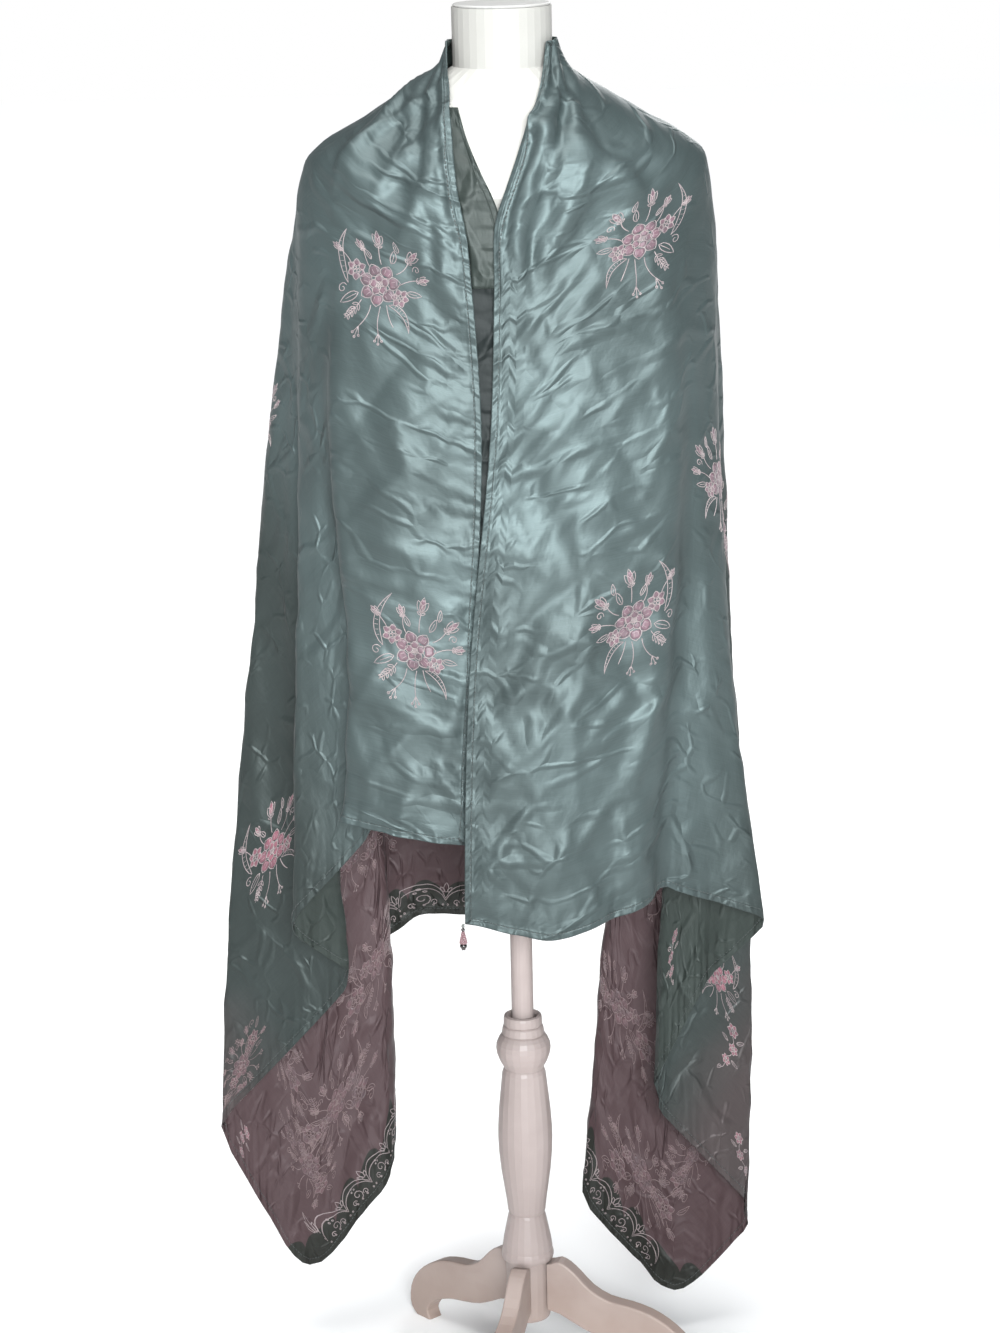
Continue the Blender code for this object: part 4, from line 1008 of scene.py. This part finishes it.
# Where the flowers lie: station, height (m), size, turn (degrees) and whether mirrored
Motif = namedtuple("Motif", "station up size turn mirrored")
FRONT_SPRAYS = (("left", -0.122, 1.186), ("left", -0.098, 0.832), ("right", 0.133, 1.222),
                ("right", 0.116, 0.856))
SPRAYS = tuple(Motif(*row) for row in (
    (5.62, 0.582, 1.0, 8, False), (6.45, 1.02, 0.9, 4, False), (7.50, 0.98, 1.0, 5, True),
    (11.6, 1.13, 1.0, -4, False), (11.9, 0.80, 1.0, 6, True), (13.0, 0.98, 1.0, 0, False),
    (14.1, 1.14, 1.0, 5, True), (14.2, 0.80, 1.0, -5, False), (14.75, 0.98, 1.0, 4, True),
    (LAST - 4.12, 0.978, 0.95, 6, True), (LAST - 6.5, 0.92, 0.95, -5, False),
    (LAST - 8.4, 0.98, 1.0, 6, False), (12.9, 1.27, 0.9, 0, True),
))
TAIL_BOUQUETS = tuple(Motif(*row) for row in (
    (7.36, 0.285, 0.92, 14, False), (7.84, 0.440, 0.90, -10, True), (6.70, 0.36, 0.8, 14, False),
    (LAST - 8.42, 0.190, 0.90, -14, True), (LAST - 8.72, 0.375, 0.90, 8, False),
    (LAST - 7.45, 0.300, 0.84, 6, True), (7.02, 0.215, 0.70, 34, True),
    (7.60, 0.560, 0.80, 10, False), (LAST - 8.25, 0.500, 0.80, 12, True),
    (LAST - 7.80, 0.215, 0.66, -20, False), (5.84, 0.335, 0.62, 76, False),
))
BACK_BOUQUETS = tuple(Motif(*row) for row in (
    (9.55, 0.470, 0.84, -8, True), (11.42, 0.560, 0.92, 4, False), (12.5, 0.620, 0.92, -4, True),
    (13.6, 0.614, 0.92, 3, False), (14.62, 0.590, 0.92, -3, True), (16.6, 0.460, 0.84, 5, False),
))
SMALL_SPRAYS = tuple(Motif(*row) for row in (
    (LAST - 6.72, 0.342, 1.0, -12, False), (LAST - 6.42, 0.50, 1.0, 10, True),
    (LAST - 5.6, 0.46, 0.9, 10, False), (LAST - 6.85, 0.215, 0.9, 20, True),
    (6.30, 0.245, 0.9, 24, False),
))


def drawn(design):
    art = Artwork()
    design(art)
    return art


def thinned(grids):
    """Every second point of the longer lines, for what is only seen from behind."""
    return [grid if len(grid) < 12 else np.concatenate((grid[:-1:2], grid[-1:])) for grid in grids]


def laid(cloth, grids, motif):
    """The grids of one drawing laid on the cloth at a motif's place."""
    forward, side = heading(motif.turn), heading(motif.turn + 90.0)
    placed = []
    sizes = [grid.shape[:2] for grid in grids]
    points = np.concatenate([grid.reshape(-1, 2) for grid in grids]) * motif.size / 1000.0
    if motif.mirrored:
        points = points * (-1.0, 1.0)
    points = points[:, :1] * forward + points[:, 1:] * side
    surface = cloth.place(motif.station, motif.up, points)
    start = 0
    for columns, rows in sizes:
        count = columns * rows
        placed.append(surface[start:start + count].reshape(columns, rows, 3))
        start += count
    return placed


def laid_on_foot(cloth, grids):
    surface = cloth.place_on_foot(np.concatenate([grid.reshape(-1, 2) for grid in grids]) / 1000.0)
    placed, start = [], 0
    for grid in grids:
        count = grid.shape[0] * grid.shape[1]
        placed.append(surface[start:start + count].reshape(*grid.shape[:2], 3))
        start += count
    return placed


def printed_piece(name, grids, thickness, finish):
    """Many small grids of points as one printed layer in the surface of the silk."""
    layer = bmesh.new()
    data = bpy.data.meshes.new(name)
    for first in range(0, len(grids), 40):
        some = bmesh.new()
        for grid in grids[first:first + 40]:
            bmesh.ops.create_grid(some, x_segments=grid.shape[0] - 1, y_segments=grid.shape[1] - 1,
                                  size=1.0)
        some.to_mesh(data)
        some.free()
        layer.from_mesh(data)
    layer.to_mesh(data)
    layer.free()
    points = np.concatenate([grid.transpose(1, 0, 2).reshape(-1, 3) for grid in grids])
    data.vertices.foreach_set("co", points.ravel())
    data.update()
    data.shade_smooth()
    data.materials.append(finish)
    item = linked_object(name, data)
    thicken(item, thickness)
    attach(item, "root")
    return item


# ---- Finishes ----

class Finish:
    """One procedural material, made node by node."""

    def __init__(self, name, roughness, **sockets):
        self.material = bpy.data.materials.new(name)
        self.material.use_nodes = True
        self.tree = self.material.node_tree
        self.shader = self.tree.nodes["Principled BSDF"]
        self.shader.inputs["Roughness"].default_value = roughness
        for socket, value in sockets.items():
            self.shader.inputs[socket.replace("_", " ")].default_value = value

    def node(self, kind, inputs=None, **settings):
        made = self.tree.nodes.new("ShaderNode" + kind)
        for name, value in settings.items():
            setattr(made, name, value)
        for name, value in (inputs or {}).items():
            self.plug(made.inputs[name], value)
        return made

    def plug(self, socket, value):
        if isinstance(value, bpy.types.NodeSocket):
            self.tree.links.new(value, socket)
        else:
            socket.default_value = value

    def maths(self, operation, *values):
        made = self.tree.nodes.new("ShaderNodeMath")
        made.operation = operation
        for socket, value in zip(made.inputs, values):
            self.plug(socket, value)
        return made.outputs[0]

    def plus(self, first, second):
        return self.maths("ADD", first, second)

    def minus(self, first, second):
        return self.maths("SUBTRACT", first, second)

    def times(self, first, second):
        return self.maths("MULTIPLY", first, second)

    def ease(self, value, start, finish, low=0.0, high=1.0):
        return self.node("MapRange", {"Value": value, "From Min": start, "From Max": finish,
                                      "To Min": low, "To Max": high},
                         interpolation_type="SMOOTHSTEP").outputs["Result"]

    def mix(self, share, first, second):
        made = self.node("Mix", data_type="RGBA")
        self.plug(made.inputs[0], share)
        for socket, colour in ((made.inputs[6], first), (made.inputs[7], second)):
            self.plug(socket, (*colour, 1.0) if isinstance(colour, tuple) else colour)
        return made.outputs[2]

    def grain(self, vector, scale, detail=2.0, rough=0.5):
        return self.node("TexNoise", {"Vector": vector, "Scale": scale, "Detail": detail,
                                      "Roughness": rough}).outputs["Fac"]

    def place(self):
        return self.node("TexCoord").outputs["Object"]

    def stretch(self, vector, scale):
        return self.node("Mapping", {"Vector": vector, "Scale": scale}).outputs["Vector"]

    def colour(self, value):
        self.plug(self.shader.inputs["Base Color"], value)

    def relief(self, height, strength=1.0):
        """Bump from a height in metres."""
        bump = self.node("Bump", {"Height": height, "Strength": strength, "Distance": 1.0})
        self.plug(self.shader.inputs["Normal"], bump.outputs["Normal"])


# Colours of the silk: its ground, the deeper patches of it, a darker side colour that is painted shade on
# the outer folds near the long edge, the band and the border by its long edge. The outside is satin; the
# inside is duller; the edge folded under is a much darker, duller copy of the silk, painted shade for the
# dark gap it lies in
Dye = namedtuple("Dye", "ground deep side band border metal rough")
OUTSIDE = Dye((0.088, 0.118, 0.119), (0.060, 0.080, 0.080), (0.030, 0.037, 0.034), (0.072, 0.058, 0.058),
              (0.032, 0.034, 0.031), 0.52, 0.53)
INSIDE = Dye((0.040, 0.056, 0.050), (0.030, 0.041, 0.038), (0.034, 0.042, 0.038), (0.068, 0.042, 0.045),
             (0.020, 0.021, 0.018), 0.15, 0.52)
# Painted shade: the edge folded under is coloured as the silk looks in deep shadow
FOLD_IN_PAINTED_SHADE = Dye((0.012, 0.018, 0.017), (0.009, 0.013, 0.013), (0.009, 0.013, 0.013), (0.012, 0.009, 0.009),
             (0.009, 0.009, 0.008), 0.10, 0.60)


def silk(name, dye, first_scallop):
    """Satin with a mauve band and a dark scalloped border at its long edge, puckered at its hems."""
    finish = Finish(name, dye.rough, Metallic=dye.metal, Sheen_Weight=0.03, Sheen_Roughness=0.35,
                    Anisotropic=0.4)
    finish.shader.inputs["Specular IOR Level"].default_value = 0.5 if dye.metal > 0.3 else 0.3
    cut = finish.node("UVMap", uv_map="cut").outputs["UV"]
    edge = finish.node("UVMap", uv_map="edge").outputs["UV"]
    far = finish.node("SeparateXYZ", {"Vector": cut}).outputs["Y"]
    parts = finish.node("SeparateXYZ", {"Vector": edge})
    length, depth = parts.outputs["X"], parts.outputs["Y"]
    cloud = finish.grain(cut, 5.5, 3.0)
    threads = finish.grain(finish.stretch(cut, (1500.0, 42.0, 1.0)), 1.0, 1.0)
    uneven = finish.plus(far, finish.times(finish.minus(cloud, 0.5), 0.16))
    tone = finish.mix(finish.ease(cloud, 0.30, 0.70), dye.ground, dye.deep)
    # Painted shade: within about 0.7 to 0.85 m of the long edge the tone is mixed towards the darker side
    # colour, for the outer folds that turn away from the light
    tone = finish.mix(finish.ease(uneven, 0.85, 0.70, 0.0, 0.75), tone, dye.side)
    tone = finish.mix(finish.ease(uneven, 0.40, 0.29), tone, dye.band)
    step = finish.maths("FRACT", finish.times(finish.minus(length, first_scallop),
                                              1000.0 / SCALLOP))
    arch = finish.maths("POWER", finish.maths("SINE", finish.times(step, math.pi)), 0.62)
    rim = finish.minus(far, finish.times(arch, 0.0175))
    tone = finish.mix(finish.ease(rim, 0.0212, 0.0200), tone, dye.border)
    streak = finish.ease(threads, 0.25, 0.75, 0.93, 1.07)
    lit = finish.node("HueSaturation", {"Color": tone, "Value": streak}).outputs["Color"]
    finish.colour(lit)
    wave = finish.maths("SINE", finish.plus(finish.times(length, 2.0 * math.pi / 0.0086),
                                             finish.times(finish.grain(edge, 46.0), 9.0)))
    fade = finish.maths("EXPONENT", finish.times(depth, -1.0 / 0.0085))
    pucker = finish.times(finish.times(wave, fade), 0.00026)
    off_seam = finish.maths("ABSOLUTE", finish.minus(depth, HEM_WIDTH - 0.0008))
    groove = finish.ease(off_seam, 0.0, 0.0012, -0.00034, 0.0)
    fine = finish.times(finish.grain(finish.stretch(cut, (34.0, 78.0, 1.0)), 1.0, 3.0), 0.0009)
    tiny = finish.times(finish.grain(finish.place(), 210.0, 2.0), 0.00012)
    weave = finish.times(threads, 0.00002)
    gather = finish.maths("SINE", finish.plus(finish.times(length, 2.0 * math.pi / 0.0190),
                                               finish.times(finish.grain(edge, 23.0), 11.0)))
    spread = finish.maths("EXPONENT", finish.times(depth, -1.0 / 0.021))
    height = finish.plus(pucker, finish.times(finish.times(gather, spread), 0.0006))
    for part in (groove, fine, tiny, weave, creased(finish, cut, 15.0, 0.0018),
                 creased(finish, cut, 34.0, 0.0010)):
        height = finish.plus(height, part)
    finish.relief(height)
    tangent = finish.node("Tangent", direction_type="UV_MAP", uv_map="cut")
    finish.plug(finish.shader.inputs["Tangent"], tangent.outputs["Tangent"])
    return finish.material


def creased(finish, cut, scale, height):
    """Thin pressed creases where the flat facets of the silk meet, worn away in places."""
    wander = finish.node("TexNoise", {"Vector": cut, "Scale": scale * 0.6, "Detail": 1.0})
    reach = (0.9 / scale, 0.9 / scale, 0.0)
    bent = finish.node("VectorMath", {0: wander.outputs["Color"], 1: reach, 2: cut},
                       operation="MULTIPLY_ADD")
    cells = finish.node("TexVoronoi", {"Vector": bent.outputs["Vector"], "Scale": scale},
                        feature="DISTANCE_TO_EDGE")
    line = finish.ease(cells.outputs["Distance"], 0.0, 0.13, 1.0, 0.0)
    kept = finish.ease(finish.grain(cut, scale * 0.8, 1.0), 0.44, 0.60)
    return finish.times(finish.times(line, kept), height)


def printed(name, pale, deep, roughness):
    """Printed colour: as satin as the silk under it, and a little uneven."""
    finish = Finish(name, roughness, Sheen_Weight=0.15)
    cloud = finish.grain(finish.place(), 90.0, 3.0)
    finish.colour(finish.mix(finish.ease(cloud, 0.32, 0.68), pale, deep))
    finish.relief(finish.times(finish.grain(finish.place(), 400.0), 0.00006))
    return finish.material


def form_white():
    """Smooth white form with a faint cloud of age and a fine orange-peel surface."""
    finish = Finish("form white", 0.52)
    cloud = finish.grain(finish.place(), 7.0, 4.0)
    finish.colour(finish.mix(finish.ease(cloud, 0.35, 0.70), (0.43, 0.42, 0.395), (0.395, 0.383, 0.357)))
    finish.relief(finish.times(finish.grain(finish.place(), 260.0, 3.0), 0.00012))
    return finish.material


def cap_grey():
    finish = Finish("cap grey", 0.5)
    cloud = finish.grain(finish.place(), 60.0, 3.0)
    finish.colour(finish.mix(cloud, (0.40, 0.395, 0.385), (0.50, 0.49, 0.47)))
    finish.relief(finish.times(finish.grain(finish.place(), 300.0), 0.0001))
    return finish.material


def painted_wood(name, pale, shade, along):
    """Satin paint over turned wood: brushed along the grain, and darker and browner towards the floor as
    painted shade.
    """
    finish = Finish(name, 0.46)
    place = finish.place()
    cloud = finish.grain(place, 14.0, 4.0)
    grain = finish.grain(finish.stretch(place, along), 1.0, 4.0)
    tone = finish.mix(finish.ease(cloud, 0.30, 0.72), pale, shade)
    tone = finish.mix(finish.ease(grain, 0.56, 0.74, 0.0, 0.35), tone, shade)
    # Painted shade: the paint darkens and browns over the lowest 0.16 m, towards the floor
    height = finish.node("SeparateXYZ", {"Vector": place}).outputs["Z"]
    low = finish.ease(height, 0.16, 0.0, 0.0, 0.55)
    tone = finish.mix(low, tone, (0.38, 0.28, 0.23))
    finish.colour(tone)
    finish.relief(finish.plus(finish.times(grain, 0.00022),
                               finish.times(finish.grain(place, 180.0), 0.00005)))
    return finish.material


def bead(name, colour, roughness, metal):
    finish = Finish(name, roughness, Metallic=metal, Coat_Weight=0.4)
    spots = finish.grain(finish.place(), 900.0)
    dark = tuple(part * 0.7 for part in colour)
    finish.colour(finish.mix(finish.ease(spots, 0.4, 0.7), colour, dark))
    finish.relief(finish.times(spots, 0.00004))
    return finish.material


# ---- Beaded drop ----

def place_bead(mesh, place, radius, flat=1.0):
    made = bmesh.ops.create_uvsphere(mesh, u_segments=8, v_segments=6, radius=radius)
    bmesh.ops.scale(mesh, verts=made["verts"], vec=(1.0, 1.0, flat))
    bmesh.ops.translate(mesh, verts=made["verts"], vec=place)


def bead_piece(name, mesh, finish):
    bmesh.ops.recalc_face_normals(mesh, faces=mesh.faces)
    data = bpy.data.meshes.new(name)
    mesh.to_mesh(data)
    mesh.free()
    data.shade_smooth()
    data.materials.append(finish)
    item = linked_object(name, data)
    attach(item, "root")
    return item


def beaded_drop():
    """A knot, a silver bead, a net of small pink beads that widens downwards, and a dark silver
    bead with four small ones below it, in place of the plain drop."""
    low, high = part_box("bead_drop")
    middle = Vector(((low[0] + high[0]) / 2.0, (low[1] + high[1]) / 2.0, high[2]))
    knot = bmesh.new()
    for step in range(5):
        angle = step * 1.9
        place_bead(knot, middle + Vector((0.0007 * math.cos(angle), 0.0007 * math.sin(angle),
                                          -0.0006 - step * 0.0007)), 0.0012)
    thread = bead_piece("drop_knot", knot, bead("drop thread", (0.16, 0.17, 0.16), 0.7, 0.0))
    silver = bmesh.new()
    place_bead(silver, middle + Vector((0.0, 0.0, -0.0058)), 0.0021, 0.85)
    place_bead(silver, middle + Vector((0.0, 0.0, -0.0229)), 0.0037, 0.9)
    for step in range(4):
        angle = (step + 0.5) * math.pi / 2.0
        place_bead(silver, middle + Vector((0.0013 * math.cos(angle), 0.0013 * math.sin(angle),
                                            -0.0261)), 0.0011)
    metal = bead_piece("drop_silver_beads", silver, bead("dark silver", (0.11, 0.10, 0.10), 0.25, 1.0))
    pink = bmesh.new()
    rows = ((-0.0086, 0.0010, 5), (-0.0104, 0.0014, 6), (-0.0122, 0.0018, 7), (-0.0140, 0.0022, 8),
            (-0.0158, 0.0026, 9), (-0.0176, 0.0030, 10), (-0.0194, 0.0032, 11))
    for drop, radius, count in rows:
        for step in range(count):
            angle = 2.0 * math.pi * (step + drop * 300.0) / count
            place_bead(pink, middle + Vector((radius * math.cos(angle), radius * math.sin(angle),
                                              drop)), 0.00098)
    net = bead_piece("drop_pink_beads", pink, bead("pink beads", (0.30, 0.175, 0.19), 0.18, 0.0))
    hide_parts("bead_drop")
    return [thread, metal, net]


# ---- Room ----

def floor():
    plane = bmesh.new()
    bmesh.ops.create_grid(plane, x_segments=8, y_segments=8, size=14.0)
    data = bpy.data.meshes.new("floor")
    plane.to_mesh(data)
    plane.free()
    item = linked_object("floor", data)
    finish = Finish("pale floor", 0.85)
    cloud = finish.grain(finish.place(), 0.8)
    finish.colour(finish.mix(cloud, (0.95, 0.95, 0.95), (0.97, 0.97, 0.97)))
    data.materials.append(finish.material)


def window_light(place, target, power, spread, radius, tint):
    """Broad, soft light on the chest that fades towards the floor."""
    data = bpy.data.lights.new("window", "SPOT")
    data.energy = power
    data.color = tint
    data.shadow_soft_size = radius
    data.spot_size = math.radians(spread)
    data.spot_blend = 1.0
    item = linked_object("window", data)
    item.location = place
    item.rotation_euler = (Vector(target) - Vector(place)).to_track_quat("-Z", "Y").to_euler()


def back_light(place, target, power, size):
    """A weak light behind, so that the back shows its folds too."""
    data = bpy.data.lights.new("back fill", "AREA")
    data.shape = "RECTANGLE"
    data.size, data.size_y = size
    data.energy = power
    item = linked_object("back fill", data)
    item.location = place
    item.rotation_euler = (Vector(target) - Vector(place)).to_track_quat("-Z", "Y").to_euler()


def sky_light(place, strength, spread):
    """Soft light from high up that keeps the floor white."""
    data = bpy.data.lights.new("sky", "SUN")
    data.energy = strength
    data.angle = math.radians(spread)
    item = linked_object("sky", data)
    item.location = place
    item.rotation_euler = (-Vector(place)).to_track_quat("-Z", "Y").to_euler()


def room_light():
    world = bpy.data.worlds.new("pale room")
    world.use_nodes = True
    nodes, links = world.node_tree.nodes, world.node_tree.links
    seen = nodes.new("ShaderNodeLightPath")
    shade = nodes.new("ShaderNodeMix")
    shade.data_type = "RGBA"
    links.new(seen.outputs["Is Camera Ray"], shade.inputs[0])
    shade.inputs[6].default_value = (0.10, 0.105, 0.115, 1.0)
    shade.inputs[7].default_value = (1.0, 1.0, 1.0, 1.0)
    links.new(shade.outputs[2], nodes["Background"].inputs["Color"])
    bpy.context.scene.world = world
    sky_light((-0.35, -0.55, 3.4), 3.15, 40.0)
    window_light((0.35, -3.1, 1.95), (0.0, 0.0, 1.06), 1900.0, 36.0, 1.05, (0.94, 0.985, 1.0))
    back_light((0.9, 3.1, 2.0), (0.0, 0.0, 0.9), 30.0, (1.2, 1.2))
    bpy.context.scene.view_settings.view_transform = "Standard"


def photo_camera():
    data = bpy.data.cameras.new("camera")
    data.sensor_fit = "VERTICAL"
    data.sensor_height = 36.0
    data.lens = 36.0 * CAMERA_FOCAL / PHOTO_HEIGHT
    data.clip_end = 60.0
    item = linked_object("camera", data)
    down = math.radians(CAMERA_DOWN)
    roll = math.radians(CAMERA_ROLL)
    forward = Vector((0.0, math.cos(down), -math.sin(down)))
    right = Vector((1.0, 0.0, 0.0))
    up = right.cross(forward)
    up_rolled = up * math.cos(roll) + right * math.sin(roll)
    right_rolled = right * math.cos(roll) - up * math.sin(roll)
    turn = Matrix((right_rolled, up_rolled, -forward)).transposed()
    item.matrix_world = Matrix.Translation(Vector(CAMERA_PLACE) + Vector(AXIS)) @ turn.to_4x4()
    bpy.context.scene.camera = item


CAMERA_PLACE = (-0.0155, -3.33, 1.673)
CAMERA_FOCAL = 3400.0
PHOTO_HEIGHT = 1333.0
CAMERA_DOWN = 15.1
CAMERA_ROLL = 1.29


# ---- Putting it together ----

def dress_scarf():
    """The silk in three runs, its folded-in edges, its print and its hem stitches."""
    cloth = Cloth()
    flat = cloth.flat_places()
    cut = np.stack((flat[..., 0], cloth.from_long_edge()), axis=-1)
    edge = np.stack(cloth.edge_places(), axis=-1)
    first_scallop = border_places(cloth)[0] / 1000.0
    outer = silk("silk outside", OUTSIDE, first_scallop)
    inner = silk("silk inside", INSIDE, first_scallop)
    # The turned-under edge gets the darkened copy of the silk: painted shade for the gap
    folded = silk("silk folded under in painted shade", FOLD_IN_PAINTED_SHADE, first_scallop)
    low = int(round(cloth.column_of(STRETCH_ENDS[0])))
    high = int(round(cloth.column_of(STRETCH_ENDS[1])))
    runs = (
        ("scarf_left", 0, low, ("collar_left", "front_left", "side_fold_left", "side_left", "tail_left"),
         "silk_sage"),
        ("scarf_back", low, high, ("back",), "silk_mauve"),
        ("scarf_right", high, cloth.columns - 1, ("tail_right", "side_right", "side_fold_right",
                                                  "front_right", "collar_right"), "silk_sage"),
    )
    for name, first, last, nodes, slot in runs:
        part = slice(first, last + 1)
        piece = silk_piece(name, cloth.grid[part], cut[part], edge[part], nodes, (outer, inner))
    turned_in = strip_piece("neck_turn_in", turn_in_grid(), (inner,), "collar_turn_in")
    turned_under = strip_piece("turned_under_edge", turn_under_grid(), (folded,), "front_turn_under")
    print_on(cloth)
    stitch_hems(cloth, edge)


def print_on(cloth):
    """All the flowers and the border, as fills and lines in the surface of the silk."""
    line_finish = printed("pink outline", (0.30, 0.245, 0.245), (0.22, 0.175, 0.18), 0.5)
    fill_finish = printed("pink fill", (0.165, 0.096, 0.118), (0.100, 0.068, 0.080), 0.42)
    rose_finish = printed("rose fill", (0.23, 0.085, 0.112), (0.145, 0.060, 0.078), 0.42)
    dusky_line = printed("dusky outline", (0.205, 0.145, 0.145), (0.150, 0.105, 0.108), 0.5)
    dusky_fill = printed("dusky fill", (0.112, 0.060, 0.068), (0.076, 0.046, 0.052), 0.42)
    flowers, clusters, chains = drawn(spray), drawn(bouquet), drawn(small_spray)
    simple = drawn(bouquet)
    simple.lines = thinned(simple.lines)
    fronts = []
    for side, across, up in FRONT_SPRAYS:
        first, last = (0.0, 2.2) if side == "left" else (LAST - 2.2, LAST)
        column = cloth.front_column(across + AXIS[0], up, first, last)
        fronts.append(Motif(float(cloth.stations[column]), up, 1.0, -6.0 if side == "left" else 8.0,
                            side == "right"))
    plain = [(flowers, motif) for motif in fronts + list(SPRAYS[1:])]
    groups = (
        ("flower_sprays", plain, fill_finish, line_finish),
        ("side_flowers", [(flowers, SPRAYS[0]), (flowers, Motif(LAST - 6.62, 0.425, 0.74, 4, True))]
         + [(chains, motif) for motif in SMALL_SPRAYS], rose_finish, line_finish),
        ("tail_bouquets", [(clusters, motif) for motif in TAIL_BOUQUETS], dusky_fill, dusky_line),
        ("back_bouquets", [(simple, motif) for motif in BACK_BOUQUETS], dusky_fill, dusky_line),
    )
    for name, drawings, finish, outline in groups:
        fills, lines = [], []
        for art, motif in drawings:
            fills += laid(cloth, art.fills, motif)
            lines += laid(cloth, art.lines, motif)
        printed_piece(name + "_colour", fills, FILL_PROUD, finish)
        printed_piece(name + "_lines", lines, LINE_PROUD, outline)
    printed_piece("scalloped_border", border_lines(cloth), LINE_PROUD, line_finish)


def border_places(cloth):
    """Where each scallop of the border starts along the foot (mm)."""
    start = np.interp(LONG_EDGE_FIRST, cloth.stations, cloth.foot_along) * 1000.0 + 16.0
    finish = np.interp(LONG_EDGE_LAST, cloth.stations, cloth.foot_along) * 1000.0 - 16.0
    count = int((finish - start) // SCALLOP)
    return start + (finish - start - count * SCALLOP) / 2.0 + SCALLOP * np.arange(count)


def border_lines(cloth):
    """Scallops side by side along the whole long edge."""
    placed = []
    for start in border_places(cloth):
        art = Artwork()
        border_repeat(art, start)
        placed += laid_on_foot(cloth, art.lines)
    return placed


def stitch_hems(cloth, edge):
    """Short stitches along the foot of both ends and the long edge, and down both fronts."""
    placed = []
    inset = HEM_WIDTH - 0.0006
    total = cloth.foot_along[-1]
    for number in range(1, int(total / STITCH_PITCH)):
        middle = number * STITCH_PITCH * 1000.0
        half = STITCH_LENGTH * 500.0
        points = np.array([[[middle - half, inset * 1000.0 + side] for side in (-0.3, 0.3)],
                           [[middle + half, inset * 1000.0 + side] for side in (-0.3, 0.3)]])
        placed += laid_on_foot(cloth, [points])
    for first in (0, cloth.columns - 1):
        lengths = cloth.down[first]
        inward = 1 if first == 0 else -1
        beside = abs(cloth.along[first + inward * 6] - cloth.along[first]).mean()
        reach = inset / beside * 6.0
        for middle in np.arange(0.006, lengths[-1] - 0.006, STITCH_PITCH):
            rows = np.interp([middle - STITCH_LENGTH / 2, middle + STITCH_LENGTH / 2], lengths,
                             np.arange(cloth.rows))
            columns = first + inward * np.array([reach - 0.25, reach + 0.25])
            grid_columns, grid_rows = np.meshgrid(columns, rows, indexing="ij")
            placed.append(cloth.surface(grid_columns.ravel(), grid_rows.ravel()).reshape(2, 2, 3))
    thread = printed("hem thread", (0.060, 0.070, 0.068), (0.040, 0.048, 0.047), 0.6)
    printed_piece("hem_stitches", placed, HEM_THICK + 0.0003, thread)


STITCH_PITCH = 0.0042
STITCH_LENGTH = 0.0027


def dress_form_and_stand():
    finishes = {
        "form_torso": form_white(), "form_neck_cap": cap_grey(),
        "pole": painted_wood("painted pole", (0.38, 0.315, 0.30), (0.32, 0.262, 0.248), (60.0, 60.0, 5.0)),
        "post": painted_wood("painted post", (0.38, 0.315, 0.30), (0.32, 0.262, 0.248), (55.0, 55.0, 6.0)),
        "hub": painted_wood("painted hub", (0.365, 0.30, 0.282), (0.30, 0.24, 0.222), (55.0, 55.0, 6.0)),
    }
    leg = painted_wood("painted legs", (0.37, 0.30, 0.275), (0.29, 0.22, 0.195), (22.0, 22.0, 50.0))
    for name in ("leg_front", "leg_right", "leg_back"):
        finishes[name] = leg
    for name, finish in finishes.items():
        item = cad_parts[name]
        item.data.materials.clear()
        item.data.materials.append(finish)


dress_scarf()
beaded_drop()
dress_form_and_stand()
floor()
room_light()
photo_camera()
